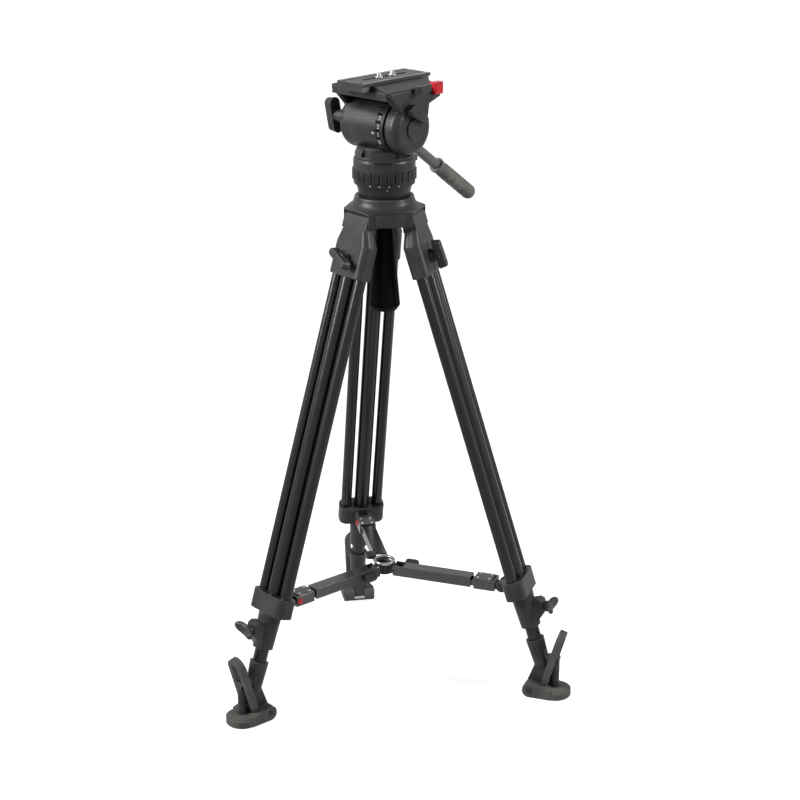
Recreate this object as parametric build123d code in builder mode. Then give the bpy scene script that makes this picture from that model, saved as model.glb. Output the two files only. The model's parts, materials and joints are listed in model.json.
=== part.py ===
from build123d import *
import os
from math import cos, radians, sin

# A video tripod: fluid head with a pan bar, three twin-tube legs in two stages, mid-level spreader.
# The origin is on the floor under the pan axis. The head faces -Y and its operator stands at +Y.

# Driving dimensions in millimetres and degrees

# Fits, on the radius or per side
RUN = 0.05
SLIDE = 0.3

# Leg stance: hinge pins, spread from the vertical, turn of the front leg about the pan axis
SPREAD = 17.6
HINGE_R = 39.3
LEG_INSET = 4.0
LEG_AZIMUTHS = {"front": -96.0, "left": 24.0, "right": 144.0}
HINGE_PIN_R = 4.0
BARREL_R = 8.0
KNUCKLE_WIDTH = 46.0
SHOULDER = 20.0
SHOULDER_DEPTH = 18.0
SHOULDER_SHIFT = 3.0
SHOULDER_CORNER = 6.0

# Leg tubes
CENTRE_OD = 21.0
CENTRE_WALL = 1.0
OUTER_OD = 15.0
OUTER_WALL = 1.2
OUTER_PITCH = 22.2
LOWER_WALL = 1.5
TUBE_SOCKET = 12.0

# Distances down the leg from the hinge pin
BLOCK_TOP = 33.0
BLOCK_HEIGHT = 42.0
BRACKET_TOP = 498.0
BRACKET_HEIGHT = 25.0
CLAMP_LENGTH = 36.0
COLLAR_GAP = 19.5

# Leg castings
BLOCK_DEPTH = 24.0
BLOCK_CORNER = 9.0
BLOCK_WALL = 1.6
BRACKET_DEPTH = 29.0
BRACKET_CORNER = 11.0
CLAMP_R = 13.4
SLEEVE_R = 15.5
NECK_HEIGHT = 12.0
CLAMP_BOSS_REACH = 27.0
CLAMP_BOSS_WIDTH = 17.0
CLAMP_BOSS_HEIGHT = 26.0

# Wing levers and knobs of the leg clamps
STUD_R = 3.0
LEVER_BOSS_R = 9.0
LEVER_BOSS_HEIGHT = 4.0
LEVER_HUB_R = 7.5
LEVER_HUB_HEIGHT = 3.5
LEVER_SPAN = 39.0
LEVER_WIDTH = 13.0
LEVER_THICKNESS = 10.0
LEVER_TURNS = {"front": 64.0, "left": 6.0, "right": 0.0}
WING_EDGE = 1.8
WING_DRAFT = 8.0
KNOB_SPAN = 30.0
KNOB_WIDTH = 14.0
KNOB_THICKNESS = 11.0
KNOB_TURNS = {"front": 55.0, "left": 70.0, "right": 60.0}

# Feet
COLLAR_RISE = 78.33
COLLAR_SET = 28.96
PAD_R = 22.0
PAD_HEIGHT = 12.0
PAD_CROWN = 3.0
LUG_WIDTH = 44.0
LUG_GAP = 15.0
LUG_R = 9.0
TOE_BOSS = 13.0
FOOT_PIN_R = 3.5
FOOT_PIN_X = -30.0
FOOT_PIN_Z = 11.0
TOE_SLEEVE_R = 12.5
TOE_SLEEVE_END_R = 10.5
TOE_SLEEVE = 38.0
TOE_SOCKET = 20.0
SPIKE_R = 6.0
SPIKE_TOP = 58.0
SPIKE_TIP = 5.0
STRAP_WIDTH = 29.0
STRAP_BAND = 8.0
STRAP_DEPTH = 9.0
STRAP_TOP_X = 9.0
STRAP_TOP_Z = 90.0
STRAP_FOOT_X = -12.5
STRAP_FOOT_Z = 15.0

# Spreader
HUB_PIVOT_R = 15.0
ARM_PIN_R = 2.5
ARM_PIVOT_INSET = 22.0
ARM_PIVOT_DROP = 10.4
CHANNEL_LENGTH = 110.0
CHANNEL_WIDTH = 18.0
CHANNEL_WALL = 2.0
CHANNEL_TOP = 7.0
CHANNEL_BOTTOM = -7.0
SLIDER_LENGTH = 105.0
SLIDER_TOP = 2.7
SLIDER_BOTTOM = -5.5
EYE_R = 5.6
FORK_START = 9.0
FORK_LENGTH = 38.0
FORK_PLATE = 2.2
CHEEK = 4.2
CHEEK_R = 7.0
HUB_R = 10.5
HUB_BORE_R = 7.5
HUB_BOTTOM = -7.0
HUB_TOP = 7.4
RING_R = 15.0
RING_HEIGHT = 4.0

# Crown and bowl
BOWL_R = 33.0
BOWL_FLOOR = 3.0
BOWL_ANGLE = 21.0
CROWN_DROP = 7.4
CROWN_RIDGE_RISE = 20.3
CROWN_SKIRT = 9.0
CROWN_SLOPE = 1.5
CROWN_FLAT = 45.0
LUG_REACH = 47.5
LUG_HALF = 28.5
CROWN_CORNER = 5.0
RIM_R = 38.0
RIM_RISE = 33.0
POCKET_R = 9.2
HOLLOW_R = 27.0
BOWL_HOLE_R = 11.0
HANDLE_TOP_R = 9.0
HANDLE_BOTTOM_R = 20.5
HANDLE_LENGTH = 133.6
HANDLE_FLANGE_R = 13.0
HANDLE_FLANGE = 3.0
TIE_STUD_R = 6.0
TIE_STUD = 22.0
PIN_RECESS = 4.0

# Head base and pan
CUP_BOTTOM_R = 32.0
CUP_TOP_R = 36.0
CUP_HEIGHT = 16.0
DOT_RING_HEIGHT = 6.0
DOT_RING_R = 39.0
PAN_RING_R = 41.0
PAN_RING_HEIGHT = 12.5
PAN_CORE_R = 35.0
PAN_RING_TEETH = 26
HOUSING_R = 39.5
HOUSING_WALL = 14.5
HOUSING_DOME = 15.0
HOUSING_NECK_R = 33.0
LEVEL_R = 7.5
LEVEL_HEIGHT = 6.0
LEVEL_REACH = HOUSING_R + LEVEL_R
LEVEL_DROP = 5.0
PAN_SPIGOT_R = 20.0
PAN_SPIGOT = 9.0
PAN_LOCK_R = 43.5
PAN_LOCK_BAND_WIDTH = 4.2
PAN_LOCK_BAND_R = HOUSING_NECK_R + PAN_LOCK_BAND_WIDTH
PAN_LOCK_BAND = 3.4
PAN_LOCK_HEIGHT = 12.5
PAN_LOCK_AZIMUTH = -50.0
PAN_LOCK_ARC = 42.0
RECESS_START = -97.0
RECESS_ARC = 124.0

# Tilt drum, platform and controls
TILT_RISE = 26.0
DRUM_R = 34.0
DRUM_LEFT = 26.0
DRUM_CORE_R = 29.0
AXLE_R = 12.0
DRAG_RING_R = 36.5
DRAG_RING_START = 16.5
DRAG_RING_WIDTH = 14.5
DRAG_RING_TEETH = 22
ARM_INNER = 41.0
ARM_THICKNESS = 10.0
ARM_EDGE = 4.0
BOSS_EDGE = 10.0
NECK_FRONT = 5.0
NECK_REAR = 30.0
NECK_LOW = 4.0
NECK_SHOULDER = 5.0
ARM_FRONT = 44.0
ARM_REAR = 50.0
DECK_HALF_LENGTH = 46.0
DECK_CLEARANCE = 3.5
DECK_THICKNESS = 9.0
RAIL_HEIGHT = 7.0
RAIL_FALL = 5.0
DECK_GUSSET = 6.0
CAP_R = 13.0
CAP_THICKNESS = 1.6

# Camera plate
PLATE_LENGTH = 120.0
PLATE_WIDTH = 46.0
PLATE_FOOT_WIDTH = 42.0
PLATE_NECK_WIDTH = 38.0
PLATE_LIP = 4.0
SCREW_SLOT_LENGTH = 78.0
SCREW_R = 3.175
SCREW_HEAD_R = 8.0
SCREW_HEAD = 3.2
SCREW_REACH = 5.0
SCREW_NECK_R = 2.8
SCREW_PLACES = {"front": -10.0, "rear": 14.0}
GROOVE_X = 14.5
GROOVE_WIDTH = 3.0
GROOVE_DEPTH = 1.0

# Pan bar
BAR_PITCH = 36.0
BAR_R = 7.0
BAR_WALL = 1.5
BAR_END = 200.0
GRIP_START = 166.0
GRIP_END = 259.0
GRIP_R = 10.8
GRIP_SCALLOPS = 4
ROSETTE_R = 13.0
ROSETTE_Y = 33.0
ROSETTE_RISE = 10.0
ROSETTE_BOSS = 5.0
EYE_THICKNESS = 15.0
BAR_KNOB_R = 15.0
BAR_KNOB_HEIGHT = 14.0

BAR_STUD_R = 4.0
SCALLOP_R = 15.0
SCALLOP_PITCH = 18.0

# Levers, latch and release button of the tilt platform
TILT_LOCK_Y = -8.0
TILT_LOCK_RISE = 25.0
TILT_LOCK_STAND = 4.0
TILT_LOCK_LENGTH = 23.0
TILT_LOCK_THICKNESS = 7.0
TILT_LOCK_TURN = 55.0
BALANCE_Y = -25.0
BALANCE_RISE = 7.0
BALANCE_STAND = 8.0
BALANCE_SPAN = 47.0
BALANCE_WIDTH = 17.0
BALANCE_THICKNESS = 13.0
BALANCE_TURN = -12.0
LATCH_Y = 2.0
LATCH_DROP = 3.0
LATCH_R = 4.6
LATCH_PIN_R = 2.5
LATCH_REACH = 11.0
LATCH_HEIGHT = 8.0
LATCH_LENGTH = 20.0
BUTTON_Y = 39.5
BUTTON_DROP = 2.0
BUTTON_SIZE = 15.0
BUTTON_POCKET = 7.0
BUTTON_TRAVEL = 3.0
BUTTON_LENGTH = 10.0

# Sizes that follow from the driving ones
LOWER_OD = CENTRE_OD - 2 * CENTRE_WALL - 2 * SLIDE
BLOCK_WIDTH = 2 * (OUTER_PITCH + OUTER_OD / 2 + BLOCK_WALL)
BLOCK_BOTTOM = BLOCK_TOP + BLOCK_HEIGHT
BRACKET_BOTTOM = BRACKET_TOP + BRACKET_HEIGHT
LEVER_Z = -(BLOCK_TOP + BLOCK_HEIGHT / 2)
LEVER_SEAT = BLOCK_DEPTH / 2 + LEVER_BOSS_HEIGHT
CLAMP_TOP = BRACKET_BOTTOM + NECK_HEIGHT
CLAMP_BOTTOM = CLAMP_TOP + CLAMP_LENGTH
COLLAR_TOP = CLAMP_BOTTOM + COLLAR_GAP
ARM_PIVOT_DOWN = BRACKET_TOP + ARM_PIVOT_DROP
HINGE_Z = COLLAR_RISE + COLLAR_TOP * cos(radians(SPREAD)) + LEG_INSET * sin(radians(SPREAD))
FOOT_R = HINGE_R - LEG_INSET * cos(radians(SPREAD)) + COLLAR_TOP * sin(radians(SPREAD)) + COLLAR_SET
KNOB_Z = -(CLAMP_TOP + CLAMP_BOSS_HEIGHT / 2)
CENTRE_END = BRACKET_BOTTOM + NECK_HEIGHT / 2
EYE_WIDTH = CHANNEL_WIDTH - 2 * CHANNEL_WALL - 1.0
ARM_PIVOT_R = (HINGE_R + ARM_PIVOT_DOWN * sin(radians(SPREAD))
               - (LEG_INSET + ARM_PIVOT_INSET) * cos(radians(SPREAD)))
ARM_PIVOT_Z = (HINGE_Z - ARM_PIVOT_DOWN * cos(radians(SPREAD))
               - (LEG_INSET + ARM_PIVOT_INSET) * sin(radians(SPREAD)))
CROWN_BOTTOM = HINGE_Z - CROWN_DROP
CROWN_RIDGE = CROWN_BOTTOM + CROWN_RIDGE_RISE
RIM_TOP = CROWN_BOTTOM + RIM_RISE
BOWL_Z = RIM_TOP - 2.0
BOWL_FLOOR_R = BOWL_R * cos(radians(BOWL_ANGLE))
BOWL_FLOOR_Z = BOWL_Z - BOWL_R * sin(radians(BOWL_ANGLE))
HANDLE_TOP = BOWL_FLOOR_Z - BOWL_FLOOR - 2 * SLIDE
HANDLE_BOTTOM = HANDLE_TOP - HANDLE_LENGTH
DOT_RING_BOTTOM = RIM_TOP + CUP_HEIGHT
DOT_RING_TOP = DOT_RING_BOTTOM + DOT_RING_HEIGHT
PAN_RING_TOP = DOT_RING_TOP + PAN_RING_HEIGHT
HOUSING_BOTTOM = PAN_RING_TOP + SLIDE
HOUSING_SHELF = PAN_RING_TOP + HOUSING_WALL
HOUSING_TOP = HOUSING_SHELF + HOUSING_DOME
LEVEL_Z = HOUSING_SHELF - LEVEL_DROP
PAN_LOCK_TOP = HOUSING_SHELF + PAN_LOCK_HEIGHT
TILT_Z = HOUSING_TOP + TILT_RISE
BAND_TOP = HOUSING_SHELF + PAN_LOCK_BAND + 2 * SLIDE
DRAG_RING_END = DRAG_RING_START + DRAG_RING_WIDTH
ARM_OUTER = ARM_INNER + ARM_THICKNESS
AXLE_END = ARM_OUTER - 0.5
DRUM_RIGHT = DRAG_RING_END + 2 * SLIDE
BOSS_R = DRUM_R - SLIDE
DECK_BOTTOM = TILT_Z + DRAG_RING_R + DECK_CLEARANCE
DECK_TOP = DECK_BOTTOM + DECK_THICKNESS
RAIL_TOP = DECK_TOP + RAIL_HEIGHT
PLATE_TOP = RAIL_TOP + PLATE_LIP
PLATE_BOTTOM = DECK_TOP + SLIDE
ROSETTE_Z = TILT_Z + ROSETTE_RISE
TILT_LOCK_Z = TILT_Z + TILT_LOCK_RISE
BALANCE_Z = TILT_Z + BALANCE_RISE
LATCH_Z = DECK_TOP - LATCH_DROP
BUTTON_Z = DECK_TOP - BUTTON_DROP
SCREW_SEAT = PLATE_BOTTOM + 0.7
ROSETTE_SEAT = ARM_OUTER + ROSETTE_BOSS
BAR_X = -(ROSETTE_SEAT + SLIDE + EYE_THICKNESS / 2)

os.makedirs("parts", exist_ok=True)


def radial(azimuth):
    """Unit vector that points away from the pan axis at this azimuth."""
    return Vector(cos(radians(azimuth)), sin(radians(azimuth)), 0)


def leg_frame(azimuth):
    """A leg's own frame: X outward, Z up along its tubes, origin abreast of the hinge pin."""
    outward = radial(azimuth) * cos(radians(SPREAD)) + Vector(0, 0, sin(radians(SPREAD)))
    along = Vector(0, 0, cos(radians(SPREAD))) - radial(azimuth) * sin(radians(SPREAD))
    hinge = radial(azimuth) * HINGE_R + Vector(0, 0, HINGE_Z)
    return Plane(hinge - outward * LEG_INSET, x_dir=outward, z_dir=along)


def upright_frame(azimuth, radius, height):
    """A level frame at this place: X outward, Z up."""
    return Plane(radial(azimuth) * radius + Vector(0, 0, height), x_dir=radial(azimuth), z_dir=(0, 0, 1))


def turned(frame, place, turn):
    """The frame moved to a place in its own coordinates and turned about its X axis."""
    return Plane(frame.location * Location(place) * Rotation(turn, 0, 0))


def keep(part, name, frame=None):
    """Write one piece, placed by the frame that it was drawn in."""
    placed = part if frame is None else part.moved(frame.location)
    placed.label = name
    export_step(placed, f"parts/{name}.step")


def straight_tube(top, outer_diameter, wall, length, places=((0, 0),)):
    """Round tubes that hang down from a height in the leg's frame."""
    with BuildPart(Plane.XY.offset(top)) as tube:
        with Locations(*places):
            Cylinder(outer_diameter / 2, length, align=(Align.CENTER, Align.CENTER, Align.MAX))
            Cylinder(outer_diameter / 2 - wall, length,
                     align=(Align.CENTER, Align.CENTER, Align.MAX), mode=Mode.SUBTRACT)
    return tube.part


def wing(span, width, thickness, hub_height, stud_length):
    """A wing lever that turns about X: a hub on a stud, and a tapered wing along Z."""
    with BuildPart() as lever:
        with BuildSketch(Plane.YZ):
            Circle(LEVER_HUB_R)
        extrude(amount=hub_height + thickness / 2)
        with BuildSketch(Plane.YZ.offset(hub_height)):
            SlotOverall(span, width, rotation=90)
        extrude(amount=thickness, taper=WING_DRAFT)
        fillet(lever.faces().sort_by(Axis.X)[-1].edges(), WING_EDGE)
        with BuildSketch(Plane.YZ):
            Circle(STUD_R)
        extrude(amount=-stud_length)
    return lever.part


# Leg knuckle: barrel on the hinge pin, shoulders that widen to the tube block
with BuildPart() as knuckle:
    with BuildSketch(Plane.XY.offset(-BLOCK_TOP)):
        RectangleRounded(BLOCK_DEPTH, BLOCK_WIDTH, BLOCK_CORNER)
    with BuildSketch(Plane.XY.offset(-BLOCK_TOP + SHOULDER)):
        with Locations((SHOULDER_SHIFT, 0)):
            RectangleRounded(SHOULDER_DEPTH, KNUCKLE_WIDTH, SHOULDER_CORNER)
    loft()
    with BuildSketch(Plane.XZ):
        with Locations((LEG_INSET, 0)):
            Circle(BARREL_R)
        with Locations((SHOULDER_SHIFT, -BLOCK_TOP + SHOULDER - 1)):
            Rectangle(SHOULDER_DEPTH, 2)
        make_hull()
    extrude(amount=KNUCKLE_WIDTH / 2, both=True)
    with Locations((LEG_INSET, 0, 0)):
        Cylinder(HINGE_PIN_R + RUN, BLOCK_WIDTH, rotation=(90, 0, 0), mode=Mode.SUBTRACT)
    with Locations((0, 0, -BLOCK_TOP)):
        Cylinder(CENTRE_OD / 2, TUBE_SOCKET,
                 align=(Align.CENTER, Align.CENTER, Align.MIN), mode=Mode.SUBTRACT)

centre_tube = straight_tube(-BLOCK_TOP + TUBE_SOCKET, CENTRE_OD, CENTRE_WALL,
                            CENTRE_END - BLOCK_TOP + TUBE_SOCKET)

# Upper clamp: slides on the centre tube and carries the two outer tubes
with BuildPart() as clamp_block:
    with BuildSketch(Plane.XY.offset(-BLOCK_TOP)):
        RectangleRounded(BLOCK_DEPTH, BLOCK_WIDTH, BLOCK_CORNER)
    extrude(amount=-BLOCK_HEIGHT)
    chamfer(clamp_block.faces().sort_by(Axis.Z)[0].edges(), BLOCK_WALL / 2)
    with BuildSketch(Plane.YZ.offset(BLOCK_DEPTH / 2 - 1)):
        with Locations((0, LEVER_Z)):
            Circle(LEVER_BOSS_R)
    extrude(amount=LEVER_BOSS_HEIGHT + 1)
    with Locations((0, 0, -BLOCK_TOP)):
        Cylinder(CENTRE_OD / 2 + SLIDE, BLOCK_HEIGHT,
                 align=(Align.CENTER, Align.CENTER, Align.MAX), mode=Mode.SUBTRACT)
    with Locations((0, OUTER_PITCH, -BLOCK_BOTTOM), (0, -OUTER_PITCH, -BLOCK_BOTTOM)):
        Cylinder(OUTER_OD / 2, TUBE_SOCKET,
                 align=(Align.CENTER, Align.CENTER, Align.MIN), mode=Mode.SUBTRACT)
    with BuildSketch(Plane.YZ):
        with Locations((0, LEVER_Z)):
            Circle(STUD_R + RUN)
    extrude(amount=LEVER_SEAT, mode=Mode.SUBTRACT)

clamp_lever = wing(LEVER_SPAN, LEVER_WIDTH, LEVER_THICKNESS, LEVER_HUB_HEIGHT,
                   LEVER_SEAT - CENTRE_OD / 2 - 2 * SLIDE)

twin_tubes = straight_tube(-BLOCK_BOTTOM + TUBE_SOCKET, OUTER_OD, OUTER_WALL,
                           BRACKET_TOP - BLOCK_BOTTOM + 2 * TUBE_SOCKET,
                           ((0, OUTER_PITCH), (0, -OUTER_PITCH)))

# Bracket at the foot of the outer tubes: belt, spreader clevis, neck and lower clamp in one casting
with BuildPart() as bracket:
    with BuildSketch(Plane.XY.offset(-BRACKET_TOP)):
        RectangleRounded(BRACKET_DEPTH, BLOCK_WIDTH + 2, BRACKET_CORNER)
    extrude(amount=-BRACKET_HEIGHT)
    with BuildSketch(Plane.XZ):
        with Locations((-ARM_PIVOT_INSET, -ARM_PIVOT_DOWN)):
            Circle(CHEEK_R)
        with Locations((-BRACKET_DEPTH / 2, -ARM_PIVOT_DOWN)):
            Rectangle(4, 2 * CHEEK_R)
        make_hull()
    extrude(amount=EYE_WIDTH / 2 + SLIDE + CHEEK, both=True)
    with Locations((-BRACKET_DEPTH / 2, 0, -ARM_PIVOT_DOWN)):
        Box(4 * CHEEK_R, EYE_WIDTH + 2 * SLIDE, 6 * CHEEK_R,
            align=(Align.MAX, Align.CENTER, Align.CENTER), mode=Mode.SUBTRACT)
    with Locations((-ARM_PIVOT_INSET, 0, -ARM_PIVOT_DOWN)):
        Cylinder(ARM_PIN_R, EYE_WIDTH + 2 * (SLIDE + CHEEK), rotation=(90, 0, 0))
    with Locations((0, 0, -BRACKET_BOTTOM)):
        Cone(CLAMP_R, SLEEVE_R, CLAMP_BOTTOM - BRACKET_BOTTOM,
             align=(Align.CENTER, Align.CENTER, Align.MAX))
    with BuildSketch(Plane.XZ):
        with BuildLine():
            Polyline((0, -CLAMP_TOP), (CLAMP_BOSS_REACH - 4, -CLAMP_TOP),
                     (CLAMP_BOSS_REACH, -CLAMP_TOP - 4),
                     (CLAMP_BOSS_REACH, -CLAMP_TOP - CLAMP_BOSS_HEIGHT + 8),
                     (CLAMP_R - 2, -CLAMP_BOTTOM + 4), (0, -CLAMP_BOTTOM + 4), close=True)
        make_face()
    extrude(amount=CLAMP_BOSS_WIDTH / 2, both=True)
    with Locations((0, 0, -BRACKET_TOP)):
        Cylinder(CENTRE_OD / 2 + SLIDE, CENTRE_END - BRACKET_TOP + 1,
                 align=(Align.CENTER, Align.CENTER, Align.MAX), mode=Mode.SUBTRACT)
        Cylinder(LOWER_OD / 2 + SLIDE, CLAMP_BOTTOM - BRACKET_TOP,
                 align=(Align.CENTER, Align.CENTER, Align.MAX), mode=Mode.SUBTRACT)
    with Locations((0, OUTER_PITCH, -BRACKET_TOP), (0, -OUTER_PITCH, -BRACKET_TOP)):
        Cylinder(OUTER_OD / 2, TUBE_SOCKET,
                 align=(Align.CENTER, Align.CENTER, Align.MAX), mode=Mode.SUBTRACT)
    with BuildSketch(Plane.YZ):
        with Locations((0, KNOB_Z)):
            Circle(STUD_R + RUN)
    extrude(amount=CLAMP_BOSS_REACH, mode=Mode.SUBTRACT)

clamp_knob = wing(KNOB_SPAN, KNOB_WIDTH, KNOB_THICKNESS, LEVER_HUB_HEIGHT,
                  CLAMP_BOSS_REACH - LOWER_OD / 2 - 2 * SLIDE)

lower_tube = straight_tube(-BLOCK_BOTTOM - TUBE_SOCKET, LOWER_OD, LOWER_WALL,
                           COLLAR_TOP + TOE_SOCKET - BLOCK_BOTTOM - TUBE_SOCKET)

# Foot frame: level, on the floor under the rubber pad's disc. The leg's axis is drawn into it here.
collar_plane = Plane((-COLLAR_SET, 0, COLLAR_RISE), x_dir=(cos(radians(SPREAD)), 0, sin(radians(SPREAD))),
                     z_dir=(-sin(radians(SPREAD)), 0, cos(radians(SPREAD))))


def down_the_leg(distance):
    """Place on the leg's axis, this far below the collar, in the foot's XZ plane."""
    return (distance * sin(radians(SPREAD)) - COLLAR_SET, COLLAR_RISE - distance * cos(radians(SPREAD)))


# Toe: sleeve round the lower tube, boss on the foot pin, outer spike that stands in the pad
with BuildPart() as toe:
    with Locations(collar_plane.location):
        Cone(TOE_SLEEVE_END_R, TOE_SLEEVE_R, TOE_SLEEVE, align=(Align.CENTER, Align.CENTER, Align.MAX))
    with BuildSketch(Plane.XZ):
        with Locations((FOOT_PIN_X, FOOT_PIN_Z)):
            Circle(LUG_R - 1)
        with Locations(down_the_leg(TOE_SLEEVE)):
            Rectangle(1.7 * TOE_SLEEVE_END_R, 4, rotation=-SPREAD)
        make_hull()
    extrude(amount=TOE_BOSS / 2, both=True)
    with Locations((FOOT_PIN_X, 0, FOOT_PIN_Z)):
        Cylinder(FOOT_PIN_R, LUG_WIDTH, rotation=(90, 0, 0))
    with BuildSketch(Plane.XZ):
        with Locations((0, SPIKE_TOP - SPIKE_R)):
            Circle(SPIKE_R)
        with Locations(down_the_leg(TOE_SLEEVE - SPIKE_R)):
            Circle(SPIKE_R)
        make_hull()
    extrude(amount=SPIKE_R, both=True)
    with Locations((0, 0, SPIKE_TIP)):
        Cylinder(SPIKE_R, SPIKE_TOP - SPIKE_R - SPIKE_TIP, align=(Align.CENTER, Align.CENTER, Align.MIN))
    with BuildSketch(collar_plane):
        Circle(LOWER_OD / 2)
    extrude(amount=-TOE_SOCKET, mode=Mode.SUBTRACT)

# Rubber pad: domed disc, two lugs on the foot pin, strap that loops round the spike
strap_run = Vector(STRAP_TOP_X - STRAP_FOOT_X, 0, STRAP_TOP_Z - STRAP_FOOT_Z)
strap_plane = Plane((STRAP_FOOT_X, 0, STRAP_FOOT_Z), x_dir=strap_run,
                    z_dir=strap_run.cross(Vector(0, 1, 0)))
with BuildPart() as pad:
    with BuildSketch(Plane.XZ):
        with BuildLine():
            Line((0, 0), (PAD_R - 1, 0))
            Line((PAD_R - 1, 0), (PAD_R, 1))
            Line((PAD_R, 1), (PAD_R, PAD_HEIGHT - PAD_CROWN))
            ThreePointArc((PAD_R, PAD_HEIGHT - PAD_CROWN), (PAD_R * 0.72, PAD_HEIGHT - 0.6),
                          (0, PAD_HEIGHT))
            Line((0, PAD_HEIGHT), (0, 0))
        make_face()
    revolve(axis=Axis.Z)
    with BuildSketch(Plane.XZ):
        with Locations((FOOT_PIN_X, LUG_R)):
            Circle(LUG_R)
        with Locations((FOOT_PIN_X, FOOT_PIN_Z)):
            Circle(LUG_R)
        with Locations((-4, PAD_HEIGHT / 2)):
            Rectangle(8, PAD_HEIGHT)
        make_hull()
    extrude(amount=LUG_WIDTH / 2, both=True)
    with BuildSketch(strap_plane):
        with Locations((strap_run.length / 2, 0)):
            SlotOverall(strap_run.length + STRAP_BAND, STRAP_WIDTH)
    extrude(amount=STRAP_DEPTH / 2, both=True)
    with BuildSketch(strap_plane):
        with Locations((strap_run.length / 2, 0)):
            SlotOverall(strap_run.length - STRAP_BAND, STRAP_WIDTH - 2 * STRAP_BAND)
    extrude(amount=STRAP_DEPTH, both=True, mode=Mode.SUBTRACT)
    with Locations((FOOT_PIN_X, 0, FOOT_PIN_Z)):
        Cylinder(FOOT_PIN_R + RUN, 2 * LUG_WIDTH, rotation=(90, 0, 0), mode=Mode.SUBTRACT)
    with BuildSketch(Plane.XZ):
        with Locations((FOOT_PIN_X, FOOT_PIN_Z)):
            Circle(LUG_R + SLIDE)
        with Locations((FOOT_PIN_X - LUG_R, FOOT_PIN_Z + 4 * LUG_R), down_the_leg(TOE_SLEEVE)):
            Rectangle(2 * TOE_SLEEVE_END_R, LUG_R, rotation=-SPREAD)
        make_hull()
    extrude(amount=LUG_GAP / 2, both=True, mode=Mode.SUBTRACT)
    with Locations((0, 0, SPIKE_TIP)):
        Cylinder(SPIKE_R + SLIDE, SPIKE_TOP, align=(Align.CENTER, Align.CENTER, Align.MIN),
                 mode=Mode.SUBTRACT)

# Spreader arm: downward channel on the hub, slider on the leg bracket
with BuildPart() as arm_channel:
    with BuildSketch(Plane.YZ):
        with Locations((0, CHANNEL_BOTTOM)):
            Rectangle(CHANNEL_WIDTH, CHANNEL_TOP - CHANNEL_BOTTOM, align=(Align.CENTER, Align.MIN))
            Rectangle(CHANNEL_WIDTH - 2 * CHANNEL_WALL, CHANNEL_TOP - CHANNEL_BOTTOM - CHANNEL_WALL,
                      align=(Align.CENTER, Align.MIN), mode=Mode.SUBTRACT)
    extrude(amount=CHANNEL_LENGTH)
    with BuildSketch(Plane.XZ):
        Circle(-CHANNEL_BOTTOM)
        Rectangle(-CHANNEL_BOTTOM + 1, 2 * CHANNEL_TOP, align=(Align.MAX, Align.CENTER), mode=Mode.SUBTRACT)
    extrude(amount=CHANNEL_WIDTH / 2, both=True, mode=Mode.ADD)
    with Locations((-2 * EYE_R, 0, CHANNEL_BOTTOM)):
        Box(4.5 * EYE_R, CHANNEL_WIDTH - 2 * CHANNEL_WALL, 3 * CHANNEL_TOP,
            align=(Align.MIN, Align.CENTER, Align.MIN), mode=Mode.SUBTRACT)
    Cylinder(ARM_PIN_R + RUN, 2 * CHANNEL_WIDTH, rotation=(90, 0, 0), mode=Mode.SUBTRACT)

with BuildPart() as arm_slider:
    with BuildSketch(Plane.XZ):
        Circle(EYE_R)
        with Locations((0, SLIDER_BOTTOM)):
            Rectangle(SLIDER_LENGTH, SLIDER_TOP - SLIDER_BOTTOM, align=(Align.MAX, Align.MIN))
    extrude(amount=EYE_WIDTH / 2, both=True)
    for side in (-1, 1):
        with Locations((-FORK_START, side * (CHANNEL_WIDTH / 2 + SLIDE), CHANNEL_BOTTOM)):
            Box(FORK_LENGTH - FORK_START, FORK_PLATE, CHANNEL_TOP - CHANNEL_BOTTOM,
                align=(Align.MAX, Align.MIN if side > 0 else Align.MAX, Align.MIN))
    with Locations((-FORK_START, 0, CHANNEL_BOTTOM)):
        Box(FORK_PLATE, CHANNEL_WIDTH + 2 * SLIDE, CHANNEL_TOP - CHANNEL_BOTTOM,
            align=(Align.MAX, Align.CENTER, Align.MIN))
    Cylinder(ARM_PIN_R + RUN, 2 * EYE_WIDTH, rotation=(90, 0, 0), mode=Mode.SUBTRACT)

for leg, azimuth in LEG_AZIMUTHS.items():
    frame = leg_frame(azimuth)
    foot = upright_frame(azimuth, FOOT_R, 0)
    keep(knuckle.part, f"{leg}_leg_knuckle", frame)
    keep(centre_tube, f"{leg}_leg_centre_tube", frame)
    keep(clamp_block.part, f"{leg}_leg_clamp_block", frame)
    keep(clamp_lever, f"{leg}_leg_clamp_lever", turned(frame, (LEVER_SEAT, 0, LEVER_Z), LEVER_TURNS[leg]))
    keep(twin_tubes, f"{leg}_leg_twin_tubes", frame)
    keep(bracket.part, f"{leg}_leg_bracket", frame)
    keep(clamp_knob, f"{leg}_leg_clamp_knob", turned(frame, (CLAMP_BOSS_REACH, 0, KNOB_Z), KNOB_TURNS[leg]))
    keep(lower_tube, f"{leg}_leg_lower_tube", frame)
    keep(toe.part, f"{leg}_leg_toe", foot)
    keep(pad.part, f"{leg}_leg_foot_pad", foot)
    keep(arm_channel.part, f"{leg}_arm_channel", upright_frame(azimuth, HUB_PIVOT_R, ARM_PIVOT_Z))
    keep(arm_slider.part, f"{leg}_arm_slider", upright_frame(azimuth, ARM_PIVOT_R, ARM_PIVOT_Z))

front_leg = upright_frame(LEG_AZIMUTHS["front"], 0, 0)

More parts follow.
